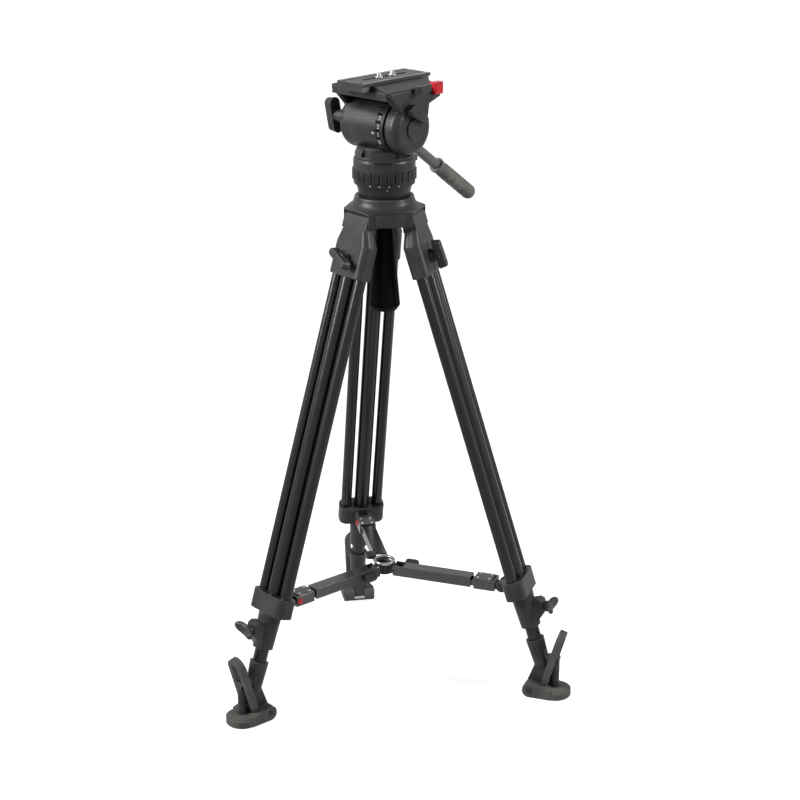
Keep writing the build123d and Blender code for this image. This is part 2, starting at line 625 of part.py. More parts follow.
# Spreader hub: open boss with three lugs and their pins
with BuildPart(front_leg.offset(ARM_PIVOT_Z)) as spreader_hub:
    with Locations((0, 0, HUB_BOTTOM)):
        Cylinder(HUB_R, HUB_TOP - HUB_BOTTOM, align=(Align.CENTER, Align.CENTER, Align.MIN))
    with PolarLocations(HUB_PIVOT_R, 3):
        Cylinder(EYE_R, EYE_WIDTH - 1, rotation=(90, 0, 0))
        Box(HUB_PIVOT_R, EYE_WIDTH - 1, 2 * EYE_R, align=(Align.MAX, Align.CENTER, Align.CENTER))
        Cylinder(ARM_PIN_R, CHANNEL_WIDTH, rotation=(90, 0, 0))
    Cylinder(HUB_BORE_R, 4 * HUB_R, mode=Mode.SUBTRACT)
keep(spreader_hub.part, "spreader_hub")

with BuildPart(Plane.XY.offset(ARM_PIVOT_Z + HUB_TOP)) as hub_ring:
    Cylinder(RING_R, RING_HEIGHT, align=(Align.CENTER, Align.CENTER, Align.MIN))
    Cylinder(RING_R - 4, RING_HEIGHT, align=(Align.CENTER, Align.CENTER, Align.MIN), mode=Mode.SUBTRACT)
    fillet(hub_ring.edges().filter_by(GeomType.CIRCLE), RING_HEIGHT * 0.4)
keep(hub_ring.part, "spreader_hub_ring")

# Crown: six-sided casting round a bowl, with three roofed pockets that open outward for the legs
with BuildSketch() as crown_outline:
    RegularPolygon(CROWN_FLAT, 3, major_radius=False)
    RegularPolygon(LUG_REACH, 3, major_radius=False, rotation=180, mode=Mode.INTERSECT)
    fillet(crown_outline.vertices(), CROWN_CORNER)

with BuildPart() as crown:
    with BuildSketch(Plane.XZ):
        with BuildLine():
            Polyline((CROWN_FLAT + CROWN_SKIRT, CROWN_RIDGE - CROWN_SLOPE),
                     (CROWN_FLAT + CROWN_SKIRT, CROWN_BOTTOM), (0, CROWN_BOTTOM),
                     (0, RIM_TOP), (RIM_R - 0.8, RIM_TOP), (RIM_R, RIM_TOP - 1.2),
                     (RIM_R + 0.8, RIM_TOP - 5))
            ThreePointArc((RIM_R + 0.8, RIM_TOP - 5), (CROWN_FLAT, CROWN_RIDGE),
                          (CROWN_FLAT + CROWN_SKIRT, CROWN_RIDGE - CROWN_SLOPE))
        make_face()
    revolve(axis=Axis.Z)
    with BuildSketch(Plane.XY.offset(CROWN_BOTTOM)):
        add(crown_outline.sketch)
    extrude(amount=RIM_TOP - CROWN_BOTTOM, mode=Mode.INTERSECT)
    with Locations((0, 0, CROWN_BOTTOM)):
        Cylinder(HOLLOW_R, BOWL_FLOOR_Z - BOWL_FLOOR - CROWN_BOTTOM,
                 align=(Align.CENTER, Align.CENTER, Align.MIN), mode=Mode.SUBTRACT)
    for count in range(3):
        with BuildSketch(Plane.XZ.rotated((0, 0, 120 * count))):
            with Locations((HINGE_R, HINGE_Z)):
                Circle(POCKET_R)
                Rectangle(LUG_REACH, POCKET_R, align=(Align.MIN, Align.MIN))
            with Locations((0, CROWN_BOTTOM)):
                Rectangle(2 * LUG_REACH, HINGE_Z - CROWN_BOTTOM, align=(Align.MIN, Align.MIN))
        extrude(amount=KNUCKLE_WIDTH / 2 + 2 * SLIDE, both=True, mode=Mode.SUBTRACT)
    with BuildSketch(Plane.XZ):
        with BuildLine():
            Polyline((BOWL_FLOOR_R, BOWL_FLOOR_Z), (0, BOWL_FLOOR_Z), (0, RIM_TOP), (BOWL_R, RIM_TOP),
                     (BOWL_R, BOWL_Z))
            ThreePointArc((BOWL_R, BOWL_Z), (BOWL_R * cos(radians(BOWL_ANGLE / 2)),
                                             BOWL_Z - BOWL_R * sin(radians(BOWL_ANGLE / 2))),
                          (BOWL_FLOOR_R, BOWL_FLOOR_Z))
        make_face()
    revolve(axis=Axis.Z, mode=Mode.SUBTRACT)
    Cylinder(BOWL_HOLE_R, BOWL_Z, align=(Align.CENTER, Align.CENTER, Align.MIN), mode=Mode.SUBTRACT)
    with PolarLocations(HINGE_R, 3):
        with Locations((0, 0, HINGE_Z)):
            Cylinder(HINGE_PIN_R, 2 * LUG_HALF - PIN_RECESS, rotation=(90, 0, 0), mode=Mode.SUBTRACT)
keep(crown.part, "crown", front_leg)

with BuildPart(front_leg) as leg_hinge_pins:
    with PolarLocations(HINGE_R, 3):
        with Locations((0, 0, HINGE_Z)):
            Cylinder(HINGE_PIN_R, 2 * LUG_HALF - PIN_RECESS, rotation=(90, 0, 0))
keep(leg_hinge_pins.part, "leg_hinge_pins")

# Tie-down handle under the bowl, on a stud that reaches up into the half ball
with BuildPart() as tie_down_handle:
    with BuildSketch(Plane.XZ):
        with BuildLine():
            Polyline((0, HANDLE_TOP), (HANDLE_FLANGE_R, HANDLE_TOP),
                     (HANDLE_FLANGE_R, HANDLE_TOP - HANDLE_FLANGE),
                     (HANDLE_TOP_R, HANDLE_TOP - HANDLE_FLANGE), (HANDLE_BOTTOM_R, HANDLE_BOTTOM + 6),
                     (HANDLE_BOTTOM_R - 4, HANDLE_BOTTOM), (0, HANDLE_BOTTOM), close=True)
        make_face()
    revolve(axis=Axis.Z)
    with Locations((0, 0, HANDLE_TOP)):
        Cylinder(TIE_STUD_R, TIE_STUD, align=(Align.CENTER, Align.CENTER, Align.MIN))
keep(tie_down_handle.part, "tie_down_handle")

# Head base: half ball in the bowl, cup, index ring and the core that the pan parts turn on
with BuildPart() as head_base:
    with Locations((0, 0, BOWL_Z)):
        Sphere(BOWL_R - 2 * RUN, arc_size2=0, align=(Align.CENTER, Align.CENTER, Align.MAX))
        Cylinder(CUP_BOTTOM_R, RIM_TOP - BOWL_Z, align=(Align.CENTER, Align.CENTER, Align.MIN))
    Cylinder(2 * BOWL_R, BOWL_FLOOR_Z + SLIDE, align=(Align.CENTER, Align.CENTER, Align.MIN),
             mode=Mode.SUBTRACT)
    with Locations((0, 0, RIM_TOP)):
        Cone(CUP_BOTTOM_R, CUP_TOP_R, DOT_RING_BOTTOM - RIM_TOP,
             align=(Align.CENTER, Align.CENTER, Align.MIN))
    with Locations((0, 0, DOT_RING_BOTTOM)):
        Cylinder(DOT_RING_R, DOT_RING_TOP - DOT_RING_BOTTOM,
                 align=(Align.CENTER, Align.CENTER, Align.MIN))
    with Locations((0, 0, DOT_RING_TOP)):
        Cylinder(PAN_CORE_R, HOUSING_BOTTOM - DOT_RING_TOP,
                 align=(Align.CENTER, Align.CENTER, Align.MIN))
    with Locations((0, 0, HOUSING_BOTTOM)):
        Cylinder(PAN_SPIGOT_R, PAN_SPIGOT - SLIDE, align=(Align.CENTER, Align.CENTER, Align.MIN))
    Cylinder(TIE_STUD_R + RUN, HANDLE_TOP + TIE_STUD + 1,
             align=(Align.CENTER, Align.CENTER, Align.MIN), mode=Mode.SUBTRACT)
keep(head_base.part, "head_base")

with BuildPart(Plane.XY.offset(DOT_RING_TOP + SLIDE)) as pan_drag_ring:
    Cylinder(PAN_RING_R, PAN_RING_TOP - DOT_RING_TOP - SLIDE, align=(Align.CENTER, Align.CENTER, Align.MIN))
    with PolarLocations(PAN_RING_R, PAN_RING_TEETH):
        Cylinder(1.4, PAN_RING_TOP - DOT_RING_TOP, align=(Align.CENTER, Align.CENTER, Align.MIN),
                 mode=Mode.SUBTRACT)
    Cylinder(PAN_CORE_R + RUN, PAN_RING_TOP - DOT_RING_TOP,
             align=(Align.CENTER, Align.CENTER, Align.MIN), mode=Mode.SUBTRACT)
keep(pan_drag_ring.part, "pan_drag_ring")

# Pan housing: turret with a saddle for the drum, a groove for the lock band and a level on the rear
drum_frame = Plane((0, 0, TILT_Z), x_dir=(1, 0, 0), z_dir=(0, -1, 0))
tilt_axis = Axis((0, 0, TILT_Z), (1, 0, 0))
with BuildPart() as pan_housing:
    with BuildSketch(Plane.XZ):
        with BuildLine():
            Polyline((0, HOUSING_TOP), (0, HOUSING_BOTTOM), (HOUSING_R, HOUSING_BOTTOM),
                     (HOUSING_R, HOUSING_SHELF - 3), (HOUSING_R - 1, HOUSING_SHELF),
                     (HOUSING_NECK_R, HOUSING_SHELF), (HOUSING_NECK_R, BAND_TOP),
                     (PAN_LOCK_BAND_R + 0.4, BAND_TOP))
            ThreePointArc((PAN_LOCK_BAND_R + 0.4, BAND_TOP), (HOUSING_NECK_R + 2.6, HOUSING_TOP - 4.5),
                          (HOUSING_NECK_R - 1, HOUSING_TOP))
            Line((HOUSING_NECK_R - 1, HOUSING_TOP), (0, HOUSING_TOP))
        make_face()
    revolve(axis=Axis.Z)
    with Locations((0, 0, LEVEL_Z - 3)):
        Box(2 * LEVEL_R + 5, LEVEL_REACH, 7, align=(Align.CENTER, Align.MIN, Align.CENTER))
    with Locations((0, LEVEL_REACH, LEVEL_Z - 6.5)):
        Cylinder(LEVEL_R + 2.5, 7, align=(Align.CENTER, Align.CENTER, Align.MIN))
    with Locations((0, 0, HOUSING_BOTTOM)):
        Cylinder(PAN_SPIGOT_R + RUN, PAN_SPIGOT,
                 align=(Align.CENTER, Align.CENTER, Align.MIN), mode=Mode.SUBTRACT)
    with BuildSketch(Plane.XY.offset(BAND_TOP)):
        with BuildLine():
            Line((0, 0), radial(RECESS_START) * 2 * HOUSING_R)
            CenterArc((0, 0), 2 * HOUSING_R, RECESS_START, RECESS_ARC)
            Line(radial(RECESS_START + RECESS_ARC) * 2 * HOUSING_R, (0, 0))
        make_face()
        Circle(HOUSING_NECK_R, mode=Mode.SUBTRACT)
    extrude(amount=HOUSING_TOP - BAND_TOP + 1, mode=Mode.SUBTRACT)
    with BuildSketch(drum_frame):
        Rectangle(3 * HOUSING_R, DRUM_R + RUN, align=(Align.CENTER, Align.MIN))
        with Locations((DRAG_RING_START + DRAG_RING_WIDTH / 2, 0)):
            Rectangle(DRAG_RING_WIDTH + 4 * SLIDE, DRAG_RING_R + SLIDE, align=(Align.CENTER, Align.MIN))
    revolve(axis=tilt_axis, mode=Mode.SUBTRACT)
keep(pan_housing.part, "pan_housing")

with BuildPart(Plane.XY.offset(LEVEL_Z + 0.5)) as bubble_level:
    with Locations((0, LEVEL_REACH, 0)):
        Cylinder(LEVEL_R, LEVEL_HEIGHT, align=(Align.CENTER, Align.CENTER, Align.MIN))
    chamfer(bubble_level.faces().sort_by(Axis.Z)[-1].edges(), 1)
keep(bubble_level.part, "bubble_level")

# Pan lock: a band in the housing's groove with a thumb pad
with BuildPart() as pan_lock_lever:
    with BuildSketch(Plane.XY.offset(HOUSING_SHELF + SLIDE)):
        Circle(PAN_LOCK_BAND_R)
        Circle(HOUSING_NECK_R + RUN, mode=Mode.SUBTRACT)
    extrude(amount=BAND_TOP - HOUSING_SHELF - 2 * SLIDE)
    with BuildSketch(Plane.XY.offset(HOUSING_SHELF + SLIDE)):
        with BuildLine():
            CenterArc((0, 0), PAN_LOCK_R, PAN_LOCK_AZIMUTH - PAN_LOCK_ARC / 2, PAN_LOCK_ARC)
            CenterArc((0, 0), HOUSING_NECK_R + SLIDE, PAN_LOCK_AZIMUTH - PAN_LOCK_ARC / 2, PAN_LOCK_ARC)
            for side in (PAN_LOCK_AZIMUTH - PAN_LOCK_ARC / 2, PAN_LOCK_AZIMUTH + PAN_LOCK_ARC / 2):
                Line(radial(side) * (HOUSING_NECK_R + SLIDE), radial(side) * PAN_LOCK_R)
        make_face()
    extrude(amount=PAN_LOCK_TOP - HOUSING_SHELF - SLIDE)
    with BuildSketch(drum_frame):
        with Locations((DRAG_RING_START - 4 * SLIDE, 0)):
            Rectangle(HOUSING_R, DRAG_RING_R + 2 * SLIDE, align=(Align.MIN, Align.MIN))
    revolve(axis=tilt_axis, mode=Mode.SUBTRACT)
keep(pan_lock_lever.part, "pan_lock_lever")

# Tilt drum in the saddle, with stub axles for the platform's arms
with BuildPart() as tilt_drum:
    with BuildSketch(drum_frame):
        with BuildLine():
            Polyline((-AXLE_END, 0), (-AXLE_END, AXLE_R), (-DRUM_LEFT, AXLE_R), (-DRUM_LEFT, DRUM_R),
                     (DRAG_RING_START - SLIDE, DRUM_R), (DRAG_RING_START - SLIDE, DRUM_CORE_R),
                     (DRUM_RIGHT, DRUM_CORE_R), (DRUM_RIGHT, AXLE_R), (AXLE_END, AXLE_R), (AXLE_END, 0),
                     close=True)
        make_face()
    revolve(axis=tilt_axis)
keep(tilt_drum.part, "tilt_drum")

side_frame = Plane((0, 0, TILT_Z), x_dir=(0, 1, 0), z_dir=(1, 0, 0))
with BuildPart(side_frame.offset(DRAG_RING_START)) as tilt_drag_ring:
    Cylinder(DRAG_RING_R, DRAG_RING_WIDTH, align=(Align.CENTER, Align.CENTER, Align.MIN))
    with PolarLocations(DRAG_RING_R, DRAG_RING_TEETH):
        Box(3, 4, DRAG_RING_WIDTH * 0.7, align=(Align.CENTER, Align.CENTER, Align.MIN), mode=Mode.SUBTRACT)
    Cylinder(DRUM_CORE_R + RUN, DRAG_RING_WIDTH, align=(Align.CENTER, Align.CENTER, Align.MIN),
             mode=Mode.SUBTRACT)
keep(tilt_drag_ring.part, "tilt_drag_ring")

# Tilt platform: two arms on the axles, deck with dovetail rails, seats for the controls
with BuildPart() as arm_bosses:
    for outer, inner in ((ARM_OUTER, DRUM_RIGHT + SLIDE), (-ARM_OUTER, -DRUM_LEFT - SLIDE)):
        with BuildSketch(side_frame.offset(outer)):
            Circle(BOSS_R)
        extrude(amount=inner - outer)
    for side in (0, -1):
        fillet(arm_bosses.faces().sort_by(Axis.X)[side].edges(), BOSS_EDGE)

with BuildPart() as tilt_platform:
    for side in (ARM_INNER, -ARM_OUTER):
        with BuildSketch(side_frame.offset(side)):
            with BuildLine():
                Polyline((-ARM_FRONT, RAIL_TOP - RAIL_FALL - TILT_Z),
                         (-ARM_FRONT, DECK_BOTTOM + NECK_SHOULDER - TILT_Z), (-NECK_FRONT, NECK_LOW),
                         (NECK_REAR - NECK_LOW, NECK_LOW),
                         (NECK_REAR, DECK_BOTTOM - 2.4 * NECK_SHOULDER - TILT_Z),
                         (ARM_REAR, DECK_BOTTOM - NECK_SHOULDER - TILT_Z),
                         (ARM_REAR, RAIL_TOP - RAIL_FALL - TILT_Z), close=True)
            make_face()
        extrude(amount=ARM_THICKNESS)
    for side in (0, -1):
        fillet(tilt_platform.faces().sort_by(Axis.X)[side].edges(), ARM_EDGE)
    add(arm_bosses.part)
    with Locations((0, -DECK_HALF_LENGTH, DECK_BOTTOM)):
        Box(2 * (ARM_OUTER - ARM_EDGE - 1), DECK_HALF_LENGTH + ARM_REAR - 2, DECK_TOP - DECK_BOTTOM,
            align=(Align.CENTER, Align.MIN, Align.MIN))
    with BuildSketch(Plane.XZ):
        for side in (-1, 1):
            with BuildLine():
                Polyline((side * (ARM_INNER + 1), DECK_BOTTOM - DECK_GUSSET),
                         (side * ARM_INNER, DECK_BOTTOM - DECK_GUSSET),
                         (side * (ARM_INNER - DECK_GUSSET), DECK_BOTTOM),
                         (side * (ARM_INNER - DECK_GUSSET), DECK_BOTTOM + 1),
                         (side * (ARM_INNER + 1), DECK_BOTTOM + 1), close=True)
            make_face()
    extrude(amount=NECK_REAR - NECK_SHOULDER, both=True)
    with BuildSketch(Plane.XZ):
        for side in (-1, 1):
            with BuildLine():
                Polyline((side * (PLATE_FOOT_WIDTH / 2 + 2 * SLIDE), DECK_TOP),
                         (side * (PLATE_NECK_WIDTH / 2 + 2 * SLIDE), RAIL_TOP),
                         (side * (PLATE_WIDTH / 2 + 2), RAIL_TOP),
                         (side * (ARM_OUTER - ARM_EDGE), RAIL_TOP - RAIL_FALL),
                         (side * (ARM_OUTER - ARM_EDGE), DECK_TOP), close=True)
            make_face()
    extrude(amount=DECK_HALF_LENGTH - 2, both=True)
    with BuildSketch(side_frame.offset(-ROSETTE_SEAT)):
        with Locations((ROSETTE_Y, ROSETTE_Z - TILT_Z)):
            Circle(ROSETTE_R)
    extrude(amount=ROSETTE_BOSS + ARM_THICKNESS)
    with BuildSketch(side_frame.offset(-ARM_OUTER)):
        with Locations((BALANCE_Y, BALANCE_Z - TILT_Z)):
            Circle(LEVER_HUB_R + 1)
    extrude(amount=ARM_THICKNESS)
    with Locations((ARM_OUTER - 2, LATCH_Y, LATCH_Z)):
        Box(LATCH_REACH + 4, 2 * LATCH_R, LATCH_PIN_R, align=(Align.MIN, Align.CENTER, Align.MAX))
    with Locations((ARM_OUTER + LATCH_REACH / 2, LATCH_Y, LATCH_Z)):
        Cylinder(LATCH_PIN_R, LATCH_HEIGHT, align=(Align.CENTER, Align.CENTER, Align.MIN))
    with BuildSketch(side_frame.offset(-2 * ARM_OUTER)):
        Circle(AXLE_R + RUN)
    extrude(amount=4 * ARM_OUTER, mode=Mode.SUBTRACT)
    with BuildSketch(side_frame.offset(-ROSETTE_SEAT)):
        with Locations((ROSETTE_Y, ROSETTE_Z - TILT_Z)):
            Circle(BAR_STUD_R + RUN)
    extrude(amount=ROSETTE_BOSS + ARM_THICKNESS - 3, mode=Mode.SUBTRACT)
    with BuildSketch(side_frame.offset(ARM_OUTER)):
        with Locations((TILT_LOCK_Y, TILT_LOCK_Z - TILT_Z)):
            Circle(STUD_R + RUN)
    extrude(amount=-ARM_THICKNESS + 2, mode=Mode.SUBTRACT)
    with BuildSketch(side_frame.offset(-ARM_OUTER)):
        with Locations((BALANCE_Y, BALANCE_Z - TILT_Z)):
            Circle(STUD_R + RUN)
    extrude(amount=ARM_THICKNESS - 2, mode=Mode.SUBTRACT)
    with Locations((ARM_OUTER - BUTTON_POCKET, BUTTON_Y, BUTTON_Z)):
        Box(2 * BUTTON_POCKET, BUTTON_SIZE + 2 * SLIDE, BUTTON_SIZE + 2 * SLIDE,
            align=(Align.MIN, Align.CENTER, Align.CENTER), mode=Mode.SUBTRACT)
keep(tilt_platform.part, "tilt_platform")

with BuildPart() as tilt_axle_caps:
    for side in (ARM_OUTER, -ARM_OUTER - CAP_THICKNESS):
        with BuildSketch(side_frame.offset(side)):
            Circle(CAP_R)
        extrude(amount=CAP_THICKNESS)
keep(tilt_axle_caps.part, "tilt_axle_caps")

right_side = Plane((-ARM_OUTER, 0, 0), x_dir=(-1, 0, 0), z_dir=(0, 0, 1))
left_side = Plane((ARM_OUTER, 0, 0), x_dir=(1, 0, 0), z_dir=(0, 0, 1))

# Tilt lock: a blade on a hub
with BuildPart() as tilt_lock_lever:
    with BuildSketch(Plane.YZ):
        Circle(LEVER_HUB_R)
    extrude(amount=TILT_LOCK_STAND)
    with BuildSketch(Plane.YZ.offset(TILT_LOCK_STAND)):
        Circle(LEVER_HUB_R)
        with Locations((0, -TILT_LOCK_LENGTH)):
            Circle(LEVER_HUB_R * 0.65)
        make_hull()
    extrude(amount=TILT_LOCK_THICKNESS)
    fillet(tilt_lock_lever.faces().sort_by(Axis.X)[-1].edges(), 1.5)
    with BuildSketch(Plane.YZ):
        Circle(STUD_R)
    extrude(amount=-ARM_THICKNESS + 3)
keep(tilt_lock_lever.part, "tilt_lock_lever",
     turned(left_side, (0, TILT_LOCK_Y, TILT_LOCK_Z), TILT_LOCK_TURN))

balance_lever = wing(BALANCE_SPAN, BALANCE_WIDTH, BALANCE_THICKNESS, BALANCE_STAND, ARM_THICKNESS - 3)
keep(balance_lever, "counterbalance_lever", turned(right_side, (0, -BALANCE_Y, BALANCE_Z), BALANCE_TURN))

# Latch of the camera plate, on an upright pin
with BuildPart() as plate_lock_lever:
    with BuildSketch(Plane.XY):
        Circle(LATCH_R)
        with Locations((-0.5, LATCH_LENGTH)):
            Circle(LATCH_R * 0.62)
        make_hull()
    extrude(amount=LATCH_HEIGHT)
    Cylinder(LATCH_PIN_R + RUN, 3 * LATCH_HEIGHT, mode=Mode.SUBTRACT)
keep(plate_lock_lever.part, "plate_lock_lever", Plane((ARM_OUTER + LATCH_REACH / 2, LATCH_Y, LATCH_Z)))

with BuildPart() as plate_release_button:
    with Locations((ARM_OUTER - BUTTON_POCKET + BUTTON_TRAVEL + SLIDE, BUTTON_Y, BUTTON_Z)):
        Box(BUTTON_LENGTH, BUTTON_SIZE, BUTTON_SIZE, align=(Align.MIN, Align.CENTER, Align.CENTER))
    fillet(plate_release_button.faces().sort_by(Axis.X)[-1].edges(), 2)
keep(plate_release_button.part, "plate_release_button")

# Camera plate: dovetail foot, lip and a long slot for two screws
with BuildPart() as camera_plate:
    with BuildSketch(Plane.XZ):
        with BuildLine():
            Polyline((-PLATE_FOOT_WIDTH / 2, PLATE_BOTTOM), (-PLATE_NECK_WIDTH / 2, RAIL_TOP + SLIDE),
                     (-PLATE_WIDTH / 2, RAIL_TOP + SLIDE), (-PLATE_WIDTH / 2, PLATE_TOP),
                     (PLATE_WIDTH / 2, PLATE_TOP), (PLATE_WIDTH / 2, RAIL_TOP + SLIDE),
                     (PLATE_NECK_WIDTH / 2, RAIL_TOP + SLIDE), (PLATE_FOOT_WIDTH / 2, PLATE_BOTTOM),
                     close=True)
        make_face()
    extrude(amount=PLATE_LENGTH / 2, both=True)
    with BuildSketch(Plane.XY.offset(PLATE_BOTTOM)):
        SlotOverall(SCREW_SLOT_LENGTH, 2 * SCREW_R + 2 * SLIDE, rotation=90)
    extrude(amount=PLATE_TOP - PLATE_BOTTOM, mode=Mode.SUBTRACT)
    with BuildSketch(Plane.XY.offset(PLATE_BOTTOM)):
        SlotOverall(SCREW_SLOT_LENGTH + 2 * (SCREW_HEAD_R - SCREW_R), 2 * SCREW_HEAD_R + 2 * SLIDE,
                    rotation=90)
    extrude(amount=SCREW_HEAD + 1, mode=Mode.SUBTRACT)
    with Locations((GROOVE_X, 0, PLATE_TOP), (-GROOVE_X, 0, PLATE_TOP)):
        Box(GROOVE_WIDTH, PLATE_LENGTH, GROOVE_DEPTH,
            align=(Align.CENTER, Align.CENTER, Align.MAX), mode=Mode.SUBTRACT)
keep(camera_plate.part, "camera_plate")

# Camera screw: head in the plate's pocket, neck in the slot, threaded end above the plate
with BuildPart() as camera_screw:
    Cylinder(SCREW_HEAD_R, SCREW_HEAD, align=(Align.CENTER, Align.CENTER, Align.MIN))
    Cylinder(SCREW_NECK_R, PLATE_TOP - SCREW_SEAT, align=(Align.CENTER, Align.CENTER, Align.MIN))
    with Locations((0, 0, PLATE_TOP - SCREW_SEAT)):
        Cylinder(SCREW_R, SCREW_REACH, align=(Align.CENTER, Align.CENTER, Align.MIN))
for place, offset in SCREW_PLACES.items():
    keep(camera_screw.part, f"camera_screw_{place}", Plane((0, offset, SCREW_SEAT)))

# Pan bar: eye on the rosette, tube and rubber grip
bar_frame = turned(Plane((BAR_X, ROSETTE_Y, ROSETTE_Z)), (0, 0, 0), -BAR_PITCH)
with BuildPart() as pan_bar:
    Cylinder(ROSETTE_R, EYE_THICKNESS, rotation=(0, 90, 0))
    Cylinder(BAR_R, BAR_END, rotation=(-90, 0, 0), align=(Align.CENTER, Align.CENTER, Align.MIN))
    with Locations((0, ROSETTE_R + 3, 0)):
        Cylinder(BAR_R - BAR_WALL, BAR_END, rotation=(-90, 0, 0),
                 align=(Align.CENTER, Align.CENTER, Align.MIN), mode=Mode.SUBTRACT)
    Cylinder(BAR_STUD_R + RUN, 2 * EYE_THICKNESS, rotation=(0, 90, 0), mode=Mode.SUBTRACT)
keep(pan_bar.part, "pan_bar", bar_frame)

with BuildPart() as pan_bar_grip:
    with Locations((0, GRIP_START, 0)):
        Cylinder(GRIP_R, GRIP_END - GRIP_START, rotation=(-90, 0, 0),
                 align=(Align.CENTER, Align.CENTER, Align.MIN))
    fillet(pan_bar_grip.faces().sort_by(Axis.Y)[-1].edges(), GRIP_R * 0.7)
    fillet(pan_bar_grip.faces().sort_by(Axis.Y)[0].edges(), 2.5)
    for count in range(GRIP_SCALLOPS):
        with Locations((0, GRIP_START + 16 + count * SCALLOP_PITCH, -GRIP_R - SCALLOP_R + 2.2)):
            Cylinder(SCALLOP_R, 4 * GRIP_R, rotation=(0, 90, 0), mode=Mode.SUBTRACT)
    with Locations((0, GRIP_START, 0)):
        Cylinder(BAR_R, BAR_END - GRIP_START, rotation=(-90, 0, 0),
                 align=(Align.CENTER, Align.CENTER, Align.MIN), mode=Mode.SUBTRACT)
keep(pan_bar_grip.part, "pan_bar_grip", bar_frame)

# Clamp knob of the pan bar, outside its eye
with BuildPart() as pan_bar_clamp_knob:
    with BuildSketch(Plane.YZ):
        Circle(BAR_KNOB_R)
        with PolarLocations(BAR_KNOB_R + 3, 6):
            Circle(6, mode=Mode.SUBTRACT)
    extrude(amount=BAR_KNOB_HEIGHT)
    fillet(pan_bar_clamp_knob.faces().sort_by(Axis.X)[-1].edges(), 1.2)
    with BuildSketch(Plane.YZ):
        Circle(BAR_STUD_R)
    extrude(amount=-(EYE_THICKNESS + ROSETTE_BOSS + 4))
keep(pan_bar_clamp_knob.part, "pan_bar_clamp_knob",
     turned(right_side, (ROSETTE_BOSS + EYE_THICKNESS + 2 * SLIDE, -ROSETTE_Y, ROSETTE_Z), 0))
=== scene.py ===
"""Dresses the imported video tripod: finishes of its castings, tubes and rubber, and its small details."""
import json

import bmesh
import bpy
import numpy as np
from bpy.props import FloatProperty, FloatVectorProperty, IntProperty, PointerProperty
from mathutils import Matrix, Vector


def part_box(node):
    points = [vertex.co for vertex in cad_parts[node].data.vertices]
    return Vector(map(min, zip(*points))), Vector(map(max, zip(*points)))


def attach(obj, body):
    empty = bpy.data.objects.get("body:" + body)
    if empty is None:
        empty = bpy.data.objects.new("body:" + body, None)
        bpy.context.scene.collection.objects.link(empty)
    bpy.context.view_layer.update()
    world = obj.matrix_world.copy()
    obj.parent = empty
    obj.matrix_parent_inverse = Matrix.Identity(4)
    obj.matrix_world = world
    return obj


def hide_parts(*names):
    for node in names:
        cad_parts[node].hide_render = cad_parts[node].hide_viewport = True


bl_info = {
    "name": "Video Tripod Dressing",
    "version": (1, 0, 0),
    "blender": (4, 5, 0),
    "location": "3D View > Sidebar > Tripod",
    "description": "Finishes and fine details of a video tripod with a fluid head",
    "category": "Object",
}

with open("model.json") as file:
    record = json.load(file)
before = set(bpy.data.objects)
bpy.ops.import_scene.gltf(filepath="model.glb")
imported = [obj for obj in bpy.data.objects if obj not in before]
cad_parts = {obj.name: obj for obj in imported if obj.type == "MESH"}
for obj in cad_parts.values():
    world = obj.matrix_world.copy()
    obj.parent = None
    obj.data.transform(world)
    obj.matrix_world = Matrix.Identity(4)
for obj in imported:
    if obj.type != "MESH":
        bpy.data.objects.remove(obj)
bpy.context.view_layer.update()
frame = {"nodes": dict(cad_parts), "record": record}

MM = 0.001
UP = np.array([0.0, 0.0, 1.0])
LEGS = {"front": -96.0, "left": 24.0, "right": 144.0}
SHARP_EDGE = np.radians(38.0)
WELD_GAP = 1e-6
RIM_STEPS = 5
LEAST_CORNER = 0.02 * MM
TIP_SHARE = 0.001


def centre(node):
    """Middle of a node's box at rest."""
    low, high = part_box(node)
    return (np.array(low) + np.array(high)) / 2


def radial(azimuth):
    """Level unit vector that points away from the pan axis at this azimuth."""
    turn = np.radians(azimuth)
    return np.array([np.cos(turn), np.sin(turn), 0.0])


def joint_entry(name):
    """A joint of the record."""
    return next(joint for joint in frame["record"]["behaviour"]["joints"] if joint["name"] == name)


def joint_place(name):
    """Point of a joint, in metres."""
    return np.array(joint_entry(name)["pos_m"])


def joint_axis(name):
    """Unit direction of a joint."""
    axis = np.array(joint_entry(name)["axis"], dtype=float)
    return axis / np.linalg.norm(axis)


# Surfaces


def rounded_ring(width, height, corner, steps=6):
    """Closed outline of a rectangle with round corners: four quarter circles about the corner centres."""
    quarter = np.linspace(0, np.pi / 2, steps)
    angle = quarter[None, :] + np.arange(4)[:, None] * np.pi / 2
    across = np.array([1, -1, -1, 1])[:, None]
    upward = np.array([1, 1, -1, -1])[:, None]
    x = across * (width / 2 - corner) + corner * np.cos(angle)
    y = upward * (height / 2 - corner) + corner * np.sin(angle)
    return np.stack([x, y], axis=-1).reshape(-1, 2)


def slab(width, height, depth, corner, edge, steps=6):
    """Raised tablet on the XY plane: the outline goes straight up, then shrinks along a quarter circle.

    At the turn t of that quarter the outline is smaller by edge times one minus the cosine of t, and
    stands edge times the sine of t above the straight part.
    """
    turn = np.linspace(0, np.pi / 2, RIM_STEPS)
    inset = np.concatenate([[0.0], edge * (1 - np.cos(turn))])
    rise = np.concatenate([[0.0], depth - edge + edge * np.sin(turn)])
    flat = np.stack([
        rounded_ring(width - 2 * i, height - 2 * i, max(corner - i, LEAST_CORNER), steps) for i in inset])
    return np.concatenate([flat, np.broadcast_to(rise[:, None, None], flat.shape[:2] + (1,))], axis=-1)


